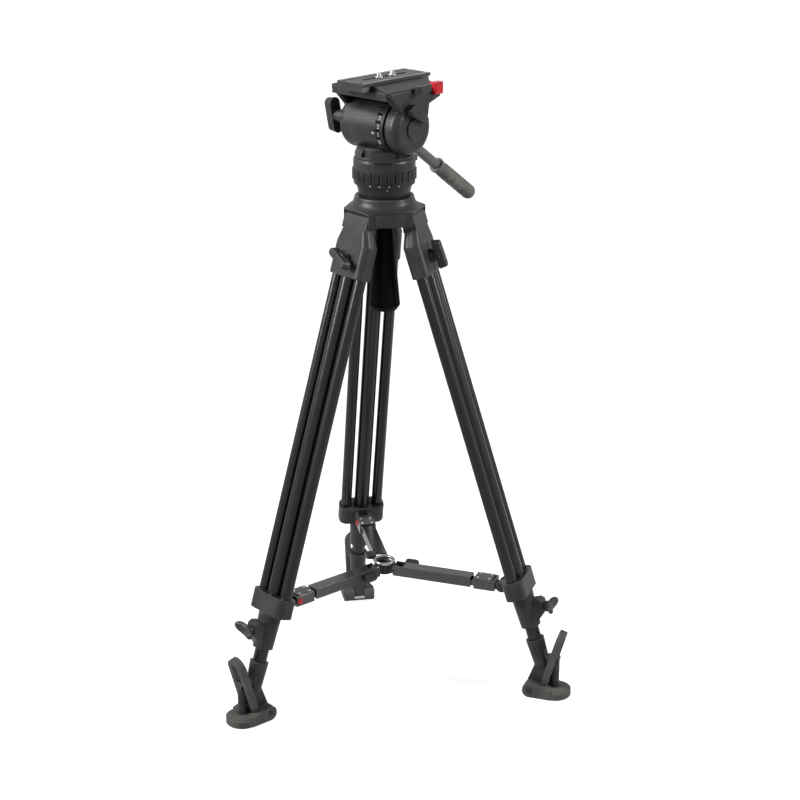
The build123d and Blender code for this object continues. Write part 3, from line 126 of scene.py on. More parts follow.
def turned_form(profile, segments=48):
    """Surface of revolution about Z: each profile point (r, z) goes once round a circle."""
    profile = np.asarray(profile, dtype=float)
    angle = np.linspace(0, 2 * np.pi, segments, endpoint=False)
    r = profile[:, 0][:, None]
    z = np.broadcast_to(profile[:, 1][:, None], (len(profile), segments))
    return np.stack([r * np.cos(angle), r * np.sin(angle), z], axis=-1)


def frame_of(z_dir, x_hint):
    """Right-handed axes as rows, with the third along z_dir and the first as near to x_hint as it can be."""
    z = np.asarray(z_dir, dtype=float) / np.linalg.norm(z_dir)
    x = np.asarray(x_hint, dtype=float) - np.dot(x_hint, z) * z
    x /= np.linalg.norm(x)
    return np.stack([x, np.cross(z, x), z])


def place(grid, origin, axes):
    """A grid drawn at the origin, turned to these axes and moved to this place."""
    return grid @ axes + np.asarray(origin)


def low_cap(radius, height, edge):
    """Profile of a low round cap, from its foot over a quarter circle at the rim to just off its middle."""
    turn = np.linspace(0, np.pi / 2, RIM_STEPS)
    rim = np.stack([radius - edge + edge * np.cos(turn), height - edge + edge * np.sin(turn)], axis=-1)
    return np.concatenate([[[radius, 0.0]], rim, [[TIP_SHARE * radius, height]]])


def torus_profile(radius, half_width, half_height, steps):
    """Closed ellipse about the point at this radius, which a turn about Z makes into a ring."""
    turn = np.linspace(0, 2 * np.pi, steps, endpoint=False)
    return np.stack([radius + half_width * np.cos(turn), half_height * np.sin(turn)], axis=-1)


def carried(section, path, across, outward):
    """A section carried along a path: at each path point, section x goes across and section y outward.

    The section may change along the path; both are arrays with one row for each path point.
    """
    sideways = section[:, :, :1] * across[:, None, :]
    return path[:, None, :] + sideways + section[:, :, 1:] * outward[:, None, :]


def figure_mesh(text, height, origin, axes):
    """A plain figure as a thin mesh, with its middle at the origin and its face along the third axis."""
    size_per_height, half_depth = 1.4, 0.06 * MM
    curve = bpy.data.curves.new("figure", "FONT")
    curve.body = text
    curve.size = height * size_per_height
    curve.extrude = half_depth
    holder = show("figure", curve)
    mesh = bpy.data.meshes.new_from_object(holder.evaluated_get(bpy.context.evaluated_depsgraph_get()))
    points = np.empty(3 * len(mesh.vertices))
    mesh.vertices.foreach_get("co", points)
    bpy.data.objects.remove(holder)
    bpy.data.curves.remove(curve)
    points = points.reshape(-1, 3)
    points -= (points.min(axis=0) + points.max(axis=0)) / 2
    mesh.vertices.foreach_set("co", place(points, origin, axes).ravel())
    mesh.update()
    return mesh


def mesh_of(name, grids, looped=False):
    """One mesh from grids whose rows are closed rings.

    Row i and row i + 1 are joined by quads, with the ring's last point joined to its first. The last
    row is joined to the first where the grid is looped; otherwise both end rings are filled.
    """
    points, quads, ends, base = [], [], [], 0
    for grid in grids:
        rows, ring = grid.shape[:2]
        i, j = np.meshgrid(np.arange(rows if looped else rows - 1), np.arange(ring), indexing="ij")
        after = (i + 1) % rows
        beside = (j + 1) % ring
        corners = [i * ring + j, i * ring + beside, after * ring + beside, after * ring + j]
        quads.append(base + np.stack(corners, axis=-1).reshape(-1, 4))
        if not looped:
            ends.append(base + np.arange(ring)[::-1])
            ends.append(base + (rows - 1) * ring + np.arange(ring))
        points.append(grid.reshape(-1, 3))
        base += rows * ring
    faces = np.concatenate(quads).tolist() + [end.tolist() for end in ends]
    mesh = bpy.data.meshes.new(name)
    mesh.from_pydata(np.concatenate(points).tolist(), [], faces)
    work = bmesh.new()
    work.from_mesh(mesh)
    bmesh.ops.remove_doubles(work, verts=work.verts, dist=WELD_GAP)
    bmesh.ops.recalc_face_normals(work, faces=work.faces)
    work.to_mesh(mesh)
    work.free()
    mesh.polygons.foreach_set("use_smooth", np.ones(len(mesh.polygons), dtype=bool))
    mesh.set_sharp_from_angle(angle=SHARP_EDGE)
    mesh.update()
    return mesh


def show(name, data):
    """New object of the scene."""
    shown = bpy.data.objects.new(name, data)
    bpy.context.scene.collection.objects.link(shown)
    return shown


def finish_piece(name, mesh, material, body, hides=()):
    """A piece with its finish, the body it moves with and the nodes that it stands for."""
    piece = show(name, mesh)
    mesh.materials.append(material)
    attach(piece, body)
    if hides:
        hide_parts(*hides)


def add_piece(name, grids, material, body, hides=(), looped=False):
    """A piece whose mesh comes from grids of closed rings."""
    finish_piece(name, mesh_of(name, grids, looped), material, body, hides)


# Finishes


def wire(tree, kind, inputs, **settings):
    """New shader node; each input is given a value, or a link where the value is a socket."""
    node = tree.nodes.new(f"ShaderNode{kind}")
    for label, value in settings.items():
        setattr(node, label, value)
    for label, value in inputs.items():
        if isinstance(value, bpy.types.NodeSocket):
            tree.links.new(value, node.inputs[label])
        else:
            node.inputs[label].default_value = value
    return node


def math(tree, operation, *values):
    """Result of a math node."""
    return wire(tree, "Math", dict(enumerate(values)), operation=operation).outputs["Value"]


def blend(tree, factor, first, second):
    """Colour between two colours."""
    return wire(tree, "Mix", {"Factor": factor, "A": first, "B": second}, data_type="RGBA").outputs["Result"]


def skin_group(name, inputs):
    """Empty group of a skin, with its sockets; returns the tree, what it is given and its output node."""
    tree = bpy.data.node_groups.new(name, "ShaderNodeTree")
    for label, default in inputs.items():
        kind = "Float" if isinstance(default, float) else "Color" if len(default) == 4 else "Vector"
        socket = tree.interface.new_socket(label, in_out="INPUT", socket_type=f"NodeSocket{kind}")
        socket.default_value = default
    for label, kind in (("Color", "Color"), ("Roughness", "Float"), ("Normal", "Vector")):
        tree.interface.new_socket(label, in_out="OUTPUT", socket_type=f"NodeSocket{kind}")
    return tree, tree.nodes.new("NodeGroupInput").outputs, tree.nodes.new("NodeGroupOutput")


def close_group(tree, given, result, shade, height, patches, gloss_swing, strength, distance):
    """Last part of both skins: rounded corners, relief, gloss, and wear with a painted highlight.

    The normal is rounded over the corners of the solid and raised by the height. The roughness grows with
    the patches. Along the corners the colour turns to the bare one, worn paint with a painted highlight: the
    mask is how far the rounded normal leans from the plain one, broken up by the patches.
    """
    corner = wire(tree, "Bevel", {"Radius": given["Corner"]}, samples=4).outputs["Normal"]
    relief = wire(tree, "Bump", {
        "Strength": strength, "Distance": distance, "Height": height, "Normal": corner}).outputs["Normal"]
    plain = wire(tree, "NewGeometry", {}).outputs["Normal"]
    lean = wire(tree, "VectorMath", {0: corner, 1: plain}, operation="DOT_PRODUCT").outputs["Value"]
    mask = wire(tree, "MapRange", {"Value": lean, "From Min": 0.985, "From Max": 0.85}).outputs["Result"]
    # Corner colour: worn paint with a painted highlight on the edges, mixed in by the mask.
    worn_and_glint = math(tree, "MULTIPLY", math(tree, "MULTIPLY", mask, patches), given["Wear"])
    gloss = math(tree, "MULTIPLY_ADD", patches, gloss_swing, given["Matt"])
    tree.links.new(blend(tree, worn_and_glint, shade, given["Bare"]), result.inputs["Color"])
    tree.links.new(gloss, result.inputs["Roughness"])
    tree.links.new(relief, result.inputs["Normal"])
    return tree


def grain_group():
    """Pebbled skin of painted castings and moulded levers, with paler corners of wear and painted highlight.

    Colour and height follow a fine noise; a second, coarse noise makes rubbed patches in colour and gloss.
    """
    tree, given, result = skin_group("pebbled_skin", {
        "Dark": (0.01, 0.01, 0.01, 1), "Pale": (0.05, 0.05, 0.05, 1), "Grain": 1400.0, "Relief": 0.3,
        "Matt": 0.6, "Corner": 0.8 * MM, "Bare": (0.2, 0.2, 0.2, 1), "Wear": 0.3})
    where = wire(tree, "TexCoord", {}).outputs["Object"]
    fine = wire(tree, "TexNoise", {"Vector": where, "Scale": given["Grain"], "Detail": 3.0}).outputs["Fac"]
    rubbed = wire(tree, "TexNoise", {"Vector": where, "Scale": 38.0, "Detail": 6.0}).outputs["Fac"]
    patches = wire(tree, "MapRange", {"Value": rubbed, "From Min": 0.35, "From Max": 0.75}).outputs["Result"]
    fine_share, patch_share = 0.55, 0.45
    both = math(tree, "MULTIPLY_ADD", fine, fine_share, math(tree, "MULTIPLY", patches, patch_share))
    shade = blend(tree, both, given["Dark"], given["Pale"])
    return close_group(tree, given, result, shade, height=fine, patches=rubbed, gloss_swing=0.14,
                       strength=given["Relief"], distance=0.3 * MM)


def drawn_group():
    """Fine streaks along a drawn tube or a brushed face, with corners worn to the bare metal and given a
    painted highlight.

    Colour, gloss and height follow one noise, squeezed across the given direction.
    """
    tree, given, result = skin_group("drawn_streaks", {
        "Vector": (0, 0, 0), "Dark": (0.01, 0.01, 0.01, 1), "Pale": (0.05, 0.05, 0.05, 1), "Matt": 0.25,
        "Corner": 0.6 * MM, "Bare": (0.3, 0.3, 0.3, 1), "Wear": 0.0})
    streak = wire(tree, "TexNoise", {"Vector": given["Vector"], "Scale": 1.0, "Detail": 4.0}).outputs["Fac"]
    shade = blend(tree, streak, given["Dark"], given["Pale"])
    return close_group(tree, given, result, shade, height=streak, patches=streak, gloss_swing=0.16,
                       strength=0.08, distance=0.2 * MM)


def new_finish(name, group, settings, sockets):
    """Material with colour, roughness and normal from a group; plain numbers go on the shader itself."""
    material = bpy.data.materials.new(name)
    material.use_nodes = True
    tree = material.node_tree
    shader = tree.nodes["Principled BSDF"]
    skin = wire(tree, "Group", {}, node_tree=group)
    for label, value in settings.items():
        skin.inputs[label].default_value = value
    for label in ("Color", "Roughness", "Normal"):
        tree.links.new(skin.outputs[label], shader.inputs["Base Color" if label == "Color" else label])
    for label, value in sockets.items():
        shader.inputs[label].default_value = value
    FINISHES[name] = material
    return tree, skin


def turn_to(along):
    """Angles that turn the Z axis to a direction: first about Y by the lean, then about Z by the azimuth."""
    x, y, z = np.asarray(along, dtype=float) / np.linalg.norm(along)
    return (0.0, float(np.arccos(z)), float(np.arctan2(y, x)))


def toned(colour, share, base=0.0):
    """Opaque colour: a share of another colour over a base, kept within one."""
    return tuple(min(1.0, base + share * c) for c in tuple(colour)[:3]) + (1.0,)


class TripodFinish(bpy.types.PropertyGroup):
    """Colours of the tripod's finishes."""

    casting: FloatVectorProperty(
        name="Casting", description="Paint of the head's and the crown's castings", subtype="COLOR",
        default=(0.028, 0.028, 0.0276), min=0, max=1)
    polymer: FloatVectorProperty(
        name="Polymer", description="Moulded levers, clamps and brackets", subtype="COLOR",
        default=(0.031, 0.031, 0.0306), min=0, max=1)
    tube: FloatVectorProperty(
        name="Tube", description="Anodised leg tubes and spreader arms", subtype="COLOR",
        default=(0.008, 0.008, 0.0084), min=0, max=1)
    rubber: FloatVectorProperty(
        name="Rubber", description="Foot pads and straps", subtype="COLOR",
        default=(0.034, 0.035, 0.032), min=0, max=1)
    grip: FloatVectorProperty(
        name="Grip", description="Rubber sleeve of the pan bar", subtype="COLOR",
        default=(0.180, 0.182, 0.170), min=0, max=1)
    accent: FloatVectorProperty(
        name="Accent", description="Release button and arm catches", subtype="COLOR",
        default=(0.80, 0.030, 0.040), min=0, max=1)
    mark: FloatVectorProperty(
        name="Mark", description="Index dots and scale figures", subtype="COLOR",
        default=(0.82, 0.82, 0.82), min=0, max=1)


class TripodDetail(bpy.types.PropertyGroup):
    """Sizes of the small details."""

    dot_radius: FloatProperty(
        name="Dot Radius", description="Radius of an index dot", unit="LENGTH",
        default=0.9 * MM, min=0.2 * MM)
    dot_count: IntProperty(name="Dots", description="Drag settings of the pan ring", default=4, min=1, max=8)
    dot_pitch: FloatProperty(
        name="Dot Pitch", description="Turn between two drag settings", subtype="ANGLE",
        default=np.radians(18.4))
    screw_radius: FloatProperty(
        name="Screw Radius", description="Radius of a screw head on the arms", unit="LENGTH",
        default=2.0 * MM)
    ridge_depth: FloatProperty(
        name="Ridge Depth", description="Depth of the finger ridges of the grip", unit="LENGTH",
        default=1.5 * MM)


class TripodStage(bpy.types.PropertyGroup):
    """Light and floor."""

    floor_radius: FloatProperty(
        name="Floor", description="Radius of the floor", unit="LENGTH", default=16.0, min=2.0)
    sky: FloatProperty(
        name="Sky", description="Strength of the surrounding light", default=0.10, min=0, max=2)
    sun: FloatProperty(name="Sun", description="Strength of the main light", default=1.8, min=0, max=10)


FINISHES = {}
STREAK_SIZE = (0.6 * MM, 0.6 * MM, 60.0 * MM)


def make_finishes(colours):
    """All finishes by name."""
    grain_skin, drawn_skin = grain_group(), drawn_group()
    satin, dull = 0.26, 0.14
    metal = {"Metallic": 1.0}

    def pebbled(name, colour, lift, grain, relief, matt, corner, wear_and_glint, gleam):
        """Pebbled finish that runs from a darker to a lifted tone of its colour."""
        # The pale corner colour below stands for worn paint and a painted highlight.
        new_finish(name, grain_skin, {
            "Dark": toned(colour, 0.42), "Pale": toned(colour, lift), "Bare": toned(colour, 3.2, base=0.05),
            "Grain": grain, "Relief": relief, "Matt": matt, "Corner": corner * MM, "Wear": wear_and_glint,
        }, {"Specular IOR Level": gleam})

    def drawn(name, dark, pale, matt, along, sockets, wear_and_glint=0.0):
        """Streaked finish whose streaks run along a direction of the object."""
        # Its corners take worn metal with a painted highlight, as much as the given share.
        tree, skin = new_finish(
            name, drawn_skin, {"Dark": dark, "Pale": pale, "Matt": matt, "Wear": wear_and_glint}, sockets)
        where = wire(tree, "TexCoord", {}).outputs["Object"]
        streaks = wire(tree, "Mapping", {"Vector": where, "Rotation": turn_to(along), "Scale": STREAK_SIZE},
                       vector_type="TEXTURE")
        tree.links.new(streaks.outputs["Vector"], skin.inputs["Vector"])

    pebbled("black_casting", colours.casting, lift=1.9, grain=1500.0, relief=0.4, matt=0.28, corner=1.2,
            wear_and_glint=1.5, gleam=satin)
    pebbled("black_polymer", colours.polymer, lift=1.9, grain=1900.0, relief=0.3, matt=0.3, corner=1.2,
            wear_and_glint=1.1, gleam=satin)
    # Darker copy of the casting paint: painted shade on the recessed drag rings and head base; the large
    # corner share paints highlights on the teeth.
    pebbled("black_ring", toned(colours.casting, 0.55), lift=1.9, grain=1500.0, relief=0.3, matt=0.26,
            corner=1.0, wear_and_glint=2.4, gleam=satin)
    # Near-black finish of the tie-down cone, also used for the painted shade in the tilt ring's notches.
    pebbled("black_cone", toned(colours.casting, 0.1), lift=1.4, grain=1900.0, relief=0.2, matt=0.5,
            corner=0.6, wear_and_glint=0.0, gleam=0.08)
    pebbled("rubber_black", colours.rubber, lift=1.4, grain=900.0, relief=0.3, matt=0.62, corner=1.2,
            wear_and_glint=0.15, gleam=dull)
    pebbled("rubber_pad", toned(colours.rubber, 3.0), lift=1.4, grain=900.0, relief=0.3, matt=0.62,
            corner=1.2, wear_and_glint=0.15, gleam=dull)
    pebbled("rubber_grip", colours.grip, lift=1.35, grain=700.0, relief=0.35, matt=0.6, corner=1.0,
            wear_and_glint=0.1, gleam=dull)
    pebbled("red_polymer", colours.accent, lift=1.1, grain=900.0, relief=0.05, matt=0.2, corner=0.9,
            wear_and_glint=0.0, gleam=satin)
    pebbled("strip_grey", (0.32, 0.32, 0.32), lift=1.3, grain=900.0, relief=0.2, matt=0.5, corner=0.3,
            wear_and_glint=0.0, gleam=satin)
    pebbled("white_mark", colours.mark, lift=1.05, grain=900.0, relief=0.05, matt=0.45, corner=0.1,
            wear_and_glint=0.0, gleam=satin)
    drawn("steel", dark=(0.42, 0.42, 0.43, 1), pale=(0.72, 0.72, 0.72, 1), matt=0.22, along=(0, 1, 0),
          sockets=metal)
    drawn("bright_ring", dark=(0.30, 0.30, 0.30, 1), pale=(0.55, 0.55, 0.55, 1), matt=0.16, along=(1, 0, 0),
          sockets=metal)
    for leg, azimuth in LEGS.items():
        drawn(f"{leg}_tube", dark=toned(colours.tube, 0.6), pale=toned(colours.tube, 1.6), matt=0.14,
              along=joint_axis(f"{leg}_leg_lower_slide"), sockets={"Specular IOR Level": 0.4})
        drawn(f"{leg}_arm", dark=toned(colours.tube, 1.5), pale=toned(colours.tube, 3.5), matt=0.12,
              along=radial(azimuth), sockets={"Specular IOR Level": 1.0}, wear_and_glint=1.4)
    drawn("bar_tube", dark=(0.08, 0.08, 0.078, 1), pale=(0.15, 0.15, 0.146, 1), matt=0.3,
          along=(0, 0.87, -0.5), sockets={"Specular IOR Level": 0.3})
    drawn("arm_cover", dark=(0.07, 0.066, 0.066, 1), pale=(0.16, 0.15, 0.15, 1), matt=0.3, along=(1, 0, 0),
          sockets={"Metallic": 0.4}, wear_and_glint=0.6)
    drawn("machined_plate", dark=(0.018, 0.018, 0.019, 1), pale=(0.055, 0.055, 0.057, 1), matt=0.3,
          along=(0, 1, 0), sockets={"Metallic": 0.35}, wear_and_glint=1.6)
    new_finish("level_vial", grain_skin, {
        "Dark": (0.45, 0.62, 0.16, 1), "Pale": (0.62, 0.80, 0.28, 1), "Grain": 60.0, "Relief": 0.0,
        "Matt": 0.02, "Corner": 0.3 * MM}, {"Transmission Weight": 0.6, "IOR": 1.45})


def dress(node, material):
    """Put a finish on a node that keeps its own shape."""
    target = frame["nodes"][node]
    if not target.material_slots:
        target.data.materials.append(material)
    for held in target.material_slots:
        held.material = material


class TRIPOD_OT_finishes(bpy.types.Operator):
    """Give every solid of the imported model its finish."""

    bl_idname = "tripod.finishes"
    bl_label = "Finishes"

    def execute(self, context):
        make_finishes(context.scene.tripod_finish)
        for entry in frame["record"]["subparts"]:
            node, name = entry["node"], entry["material_slot"]
            if name == "black_tube":
                name = node.split("_")[0] + ("_arm" if "_arm_" in node else "_tube")
            if node == "pan_bar":
                name = "bar_tube"
            if node == "tie_down_handle":
                name = "black_cone"
            if node.endswith("_foot_pad"):
                name = "rubber_pad"
            # Drag rings and head base take the darker copy of the casting paint, painted shade of their
            # recesses.
            if node in ("tilt_drag_ring", "pan_drag_ring", "head_base"):
                name = "black_ring"
            dress(node, FINISHES[name])
        return {"FINISHED"}


class TRIPOD_OT_marks(bpy.types.Operator):
    """Index dots of the pan drag, and the pointer, painted notch shade and figures of the tilt drag."""

    bl_idname = "tripod.marks"
    bl_label = "Scale Marks"

    def execute(self, context):
        self.pan_marks(context.scene.tripod_detail)
        self.tilt_marks()
        return {"FINISHED"}

    def pan_marks(self, detail):
        """A row of dots round the cup under the pan ring, and the zero dot on the taper of the head base."""
        white = FINISHES["white_mark"]
        disc = turned_form(low_cap(detail.dot_radius, height=0.15 * MM, edge=0.08 * MM), segments=20)
        cup_r, drop, first_turn = 39.0 * MM, 4.2 * MM, -74.0
        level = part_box("pan_drag_ring")[0][2] - drop
        turns = first_turn + np.degrees(detail.dot_pitch) * np.arange(detail.dot_count)
        dots = [place(disc, radial(a) * cup_r + UP * level, frame_of(radial(a), UP)) for a in turns]
        add_piece("pan_index_dots", dots, white, "crown")

        foot_r, slope, rise = 32.0 * MM, 0.25, 12.6 * MM
        way, taper = radial(-40.0), np.arctan(slope)
        out = np.cos(taper) * way - np.sin(taper) * UP
        spot = way * (foot_r + slope * rise) + UP * (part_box("crown")[1][2] + rise)
        add_piece("pan_zero_dot", [place(disc, spot, frame_of(out, UP))], white, "crown")

    def tilt_marks(self):
        """Pointer on the drum; on the ring, dark sheets on its notch floors as painted shade, and the
        figures from 3 to 0.
        """
        white = FINISHES["white_mark"]
        low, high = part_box("tilt_drag_ring")
        axis_z = (low[2] + high[2]) / 2
        ring_r = (high[2] - low[2]) / 2
        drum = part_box("tilt_drum")
        drum_r = (drum[1][1] - drum[0][1]) / 2

        def on_drum(x, lift, radius):
            """Place and axes on a cylinder about the tilt axis, at a lift in degrees from its front."""
            lift = np.radians(lift)
            out = np.array([0.0, -np.cos(lift), np.sin(lift)])
            return np.array([x, 0.0, axis_z]) + out * radius, frame_of(out, (1, 0, 0))

        figure_lifts = {3: 24.5, 2: 8.2, 1: -8.2, 0: -24.5}
        # The pointer's width shrinks in a straight line along its length, to a small share at the tip.
        length, tip_share, gap = 4.6 * MM, 0.08, 3.6 * MM
        wedge = slab(length, 3.2 * MM, depth=0.2 * MM, corner=0.3 * MM, edge=0.1 * MM)
        wedge[..., 1] *= 0.5 - wedge[..., 0] / length + tip_share
        pointer = place(wedge, *on_drum(low[0] - gap, figure_lifts[1], drum_r))
        add_piece("tilt_pointer", [pointer], white, "pan")
        # Near-black sheets on the notch floors stand in for the shade in the notches: painted shade.
        notches, notch_middle, notch_depth = 22, 5.05 * MM, 1.5 * MM
        notch_shade_sheet = slab(9.8 * MM, 3.7 * MM, depth=0.3 * MM, corner=0.4 * MM, edge=0.1 * MM)
        notch_shade_sheets = [place(notch_shade_sheet, *on_drum(low[0] + notch_middle, lift, ring_r - notch_depth))
                   for lift in np.arange(notches) * 360.0 / notches]
        add_piece("tilt_ring_linings", notch_shade_sheets, FINISHES["black_cone"], "tilt_drag_ring")
        height, stand = 5.2 * MM, 0.05 * MM
        for number, lift in figure_lifts.items():
            mesh = figure_mesh(str(number), height, *on_drum((low[0] + high[0]) / 2, lift, ring_r + stand))
            finish_piece(f"tilt_figure_{number}", mesh, white, "tilt_drag_ring")


class TRIPOD_OT_plates(bpy.types.Operator):
    """Bare front plate of the crown, rim of the side cap, and strips and pads of the camera plate."""

    bl_idname = "tripod.plates"
    bl_label = "Plates and Strips"

    def execute(self, context):
        way, reach, rise = radial(-36.0), 45.0 * MM, 8.6 * MM
        panel = slab(37.0 * MM, 15.0 * MM, depth=0.9 * MM, corner=2.5 * MM, edge=0.6 * MM)
        spot = way * reach + UP * (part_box("crown")[0][2] + rise)
        add_piece("crown_panel", [place(panel, spot, frame_of(way, np.cross(UP, way)))],
                  FINISHES["black_polymer"], "crown")

        rim = torus_profile(radius=11.9 * MM, half_width=0.7 * MM, half_height=0.5 * MM, steps=16)
        spot = centre("tilt_axle_caps")
        spot[0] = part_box("tilt_axle_caps")[1][0]
        add_piece("side_cap_rim", [place(turned_form(rim, segments=64), spot, frame_of((1, 0, 0), UP))],
                  FINISHES["black_polymer"], "tilt", looped=True)

        low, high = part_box("camera_plate")
        top, end_gap, groove = high[2], 3.0 * MM, 1.0 * MM
        length = high[1] - low[1] - 2 * end_gap
        strip = slab(2.5 * MM, length, depth=1.05 * MM, corner=1.2 * MM, edge=0.3 * MM)
        pad = slab(5.6 * MM, length, depth=0.35 * MM, corner=1.2 * MM, edge=0.2 * MM)
        for name, form, offset, level, finish in (
                ("plate_strips", strip, 14.5 * MM, top - groove, "rubber_black"),
                ("plate_pads", pad, 19.4 * MM, top, "strip_grey")):
            pair = [form + np.array([x, 0.0, level]) for x in (-offset, offset)]
            add_piece(name, pair, FINISHES[finish], "camera_plate")
        return {"FINISHED"}


class TRIPOD_OT_spreader(bpy.types.Operator):
    """Cover plates, screws, finger tabs and red catches of the spreader arms."""

    bl_idname = "tripod.spreader"
    bl_label = "Spreader Fittings"

    def execute(self, context):
        screw_radius = context.scene.tripod_detail.screw_radius
        head = turned_form(low_cap(screw_radius, height=0.9 * MM, edge=0.5 * MM), segments=24)
        catch = slab(7.0 * MM, 7.5 * MM, depth=1.4 * MM, corner=1.5 * MM, edge=0.7 * MM)
        cover = slab(25.4 * MM, 22.6 * MM, depth=0.9 * MM, corner=1.5 * MM, edge=0.4 * MM)
        tab_depth = 4.6 * MM
        tab = slab(19.0 * MM, 13.0 * MM, depth=tab_depth, corner=4.0 * MM, edge=1.4 * MM)
        cover_reach, catch_reach, catch_offset = 142.8 * MM, 154.0 * MM, 11.2 * MM
        screw_reaches, screw_offset, screw_rise = (135.0 * MM, 151.0 * MM), 6.5 * MM, 0.8 * MM
        tab_reach, tab_offset, tab_drop, tab_throw = 35.0 * MM, 8.0 * MM, 4.5 * MM, 5.5 * MM
        tab_turns = {"front": -38.0, "left": 24.0, "right": 4.0}
        for leg, azimuth in LEGS.items():
            way = radial(azimuth)
            side = np.cross(UP, way)
            level = frame_of(UP, way)
            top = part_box(f"{leg}_arm_slider")[1][2]
            add_piece(f"{leg}_arm_cover", [place(cover, way * cover_reach + UP * top, level)],
                      FINISHES["arm_cover"], f"{leg}_arm_slider")
            spots = [way * reach + side * offset + UP * (top + screw_rise)
                     for reach in screw_reaches for offset in (-screw_offset, screw_offset)]
            add_piece(f"{leg}_arm_screws", [place(head, spot, level) for spot in spots],
                      FINISHES["steel"], f"{leg}_arm_slider")
            pivot_z = joint_place(f"{leg}_arm_slider_swing")[2]
            spot = way * catch_reach + side * catch_offset + UP * pivot_z
            add_piece(f"{leg}_arm_catch", [place(catch, spot, frame_of(side, way))],
                      FINISHES["red_polymer"], f"{leg}_arm_slider")
            turn = np.radians(tab_turns[leg])
            out = np.cos(turn) * side + np.sin(turn) * UP
            face = np.cross(way, out)
            root = way * tab_reach + side * tab_offset + UP * (top - tab_drop)
            spot = root + out * tab_throw - face * tab_depth / 2
            add_piece(f"{leg}_arm_tab", [place(tab, spot, frame_of(face, way))],
                      FINISHES["black_polymer"], f"{leg}_arm_channel")
        return {"FINISHED"}


def wing_form(span, rows=25):
    """Wing of a knob along Y: a rounded section carried along a parabola that rises towards both ends.

    With t from -1 to 1 along the span, the path rises by the bend times t squared. The section's width
    follows a half circle in t and its thickness grows with the size of t; near the ends both close
    along the square root of one minus the sixth power of t.
    """
    lift, bend, least = 7.5 * MM, 6.0 * MM, 0.05
    tip_width, belly, waist, flare = 7.5 * MM, 7.0 * MM, 5.4 * MM, 2.6 * MM
    t = np.linspace(-1, 1, rows)
    ease = np.maximum(np.sqrt(np.clip(1 - np.abs(t) ** 6, 0, 1)), least)
    path = np.stack([0 * t, span * t, lift + bend * t ** 2], axis=-1)
    wide = (tip_width + belly * (1 - t ** 2) ** 0.5) * ease
    thick = (waist + flare * np.abs(t)) * ease
    outline = rounded_ring(1.0, 1.0, corner=0.42, steps=5)
    section = outline[None] * np.stack([wide, thick], axis=-1)[:, None, :]
    slope = np.stack([0 * t, np.full(rows, span), 2 * bend * t], axis=-1)
    slope /= np.linalg.norm(slope, axis=1, keepdims=True)
    across = np.broadcast_to(np.array([1.0, 0, 0]), (rows, 3))
    return carried(section, path, across, np.cross(slope, across))


class TRIPOD_OT_knobs(bpy.types.Operator):
    """Winged knobs of the lower leg clamps: a hub, and a wing that bends away from the leg."""

    bl_idname = "tripod.knobs"
    bl_label = "Clamp Knobs"

    def execute(self, context):
        wing = wing_form(span=18.5 * MM)
        hub_profile = np.array([[6.6, 0.2], [7.2, 0.8], [7.2, 4.5], [5.4, 7.2], [0.01, 7.6]]) * MM
        hub = turned_form(hub_profile, segments=40)
        wing_turns = {"front": 101.0, "left": 86.0, "right": 60.0}
        for leg, turn in wing_turns.items():
            out = joint_axis(f"{leg}_leg_clamp_knob_turn")
            upright, level, _ = frame_of(out, joint_axis(f"{leg}_leg_lower_slide"))
            turn = np.radians(turn)
            axes = frame_of(out, np.cos(turn) * level + np.sin(turn) * upright)
            spot = joint_place(f"{leg}_leg_clamp_knob_turn")
            add_piece(f"{leg}_clamp_wing", [place(wing, spot, axes), place(hub, spot, axes)],
                      FINISHES["black_polymer"], f"{leg}_leg_clamp_knob",
                      (f"{leg}_leg_clamp_knob",))
        return {"FINISHED"}


class TRIPOD_OT_feet(bpy.types.Operator):
    """Pin heads on both sides of each foot, and the steel rod between its lugs."""

    bl_idname = "tripod.feet"
    bl_label = "Foot Pins"

    def execute(self, context):
        mounts = {mount["name"]: np.array(mount["pos_m"]) for mount in frame["record"]["mounts"]}
        head = turned_form(low_cap(4.2 * MM, height=1.2 * MM, edge=0.8 * MM), segments=32)
        rod_r, rod_half = 2.1 * MM, 7.4 * MM
        rod = turned_form([[rod_r, -rod_half], [rod_r, rod_half]], segments=24)
        pin_inset, pin_rise, cheek = 30.0 * MM, 11.0 * MM, 22.0 * MM
        rod_inset, rod_drop = 7.6 * MM, 3.2 * MM
        for leg, azimuth in LEGS.items():
            way = radial(azimuth)
            side = np.cross(UP, way)
            body = f"{leg}_leg_lower"
            pin = mounts[f"{leg}_foot"] - way * pin_inset + UP * pin_rise
            heads = [place(head, pin + s * side * cheek, frame_of(s * side, UP)) for s in (-1, 1)]
            add_piece(f"{leg}_foot_pin_heads", heads, FINISHES["black_polymer"], body)
            spot = pin - way * rod_inset - UP * rod_drop
            rods = [place(rod, spot, frame_of(side, UP))]
            add_piece(f"{leg}_foot_rod", rods, FINISHES["steel"], body)
        return {"FINISHED"}


def swell(reach, middle, width):
    """Bell curve along a length: e to the minus square of the distance from its middle over its width."""
    return np.exp(-((reach - middle) / width) ** 2)


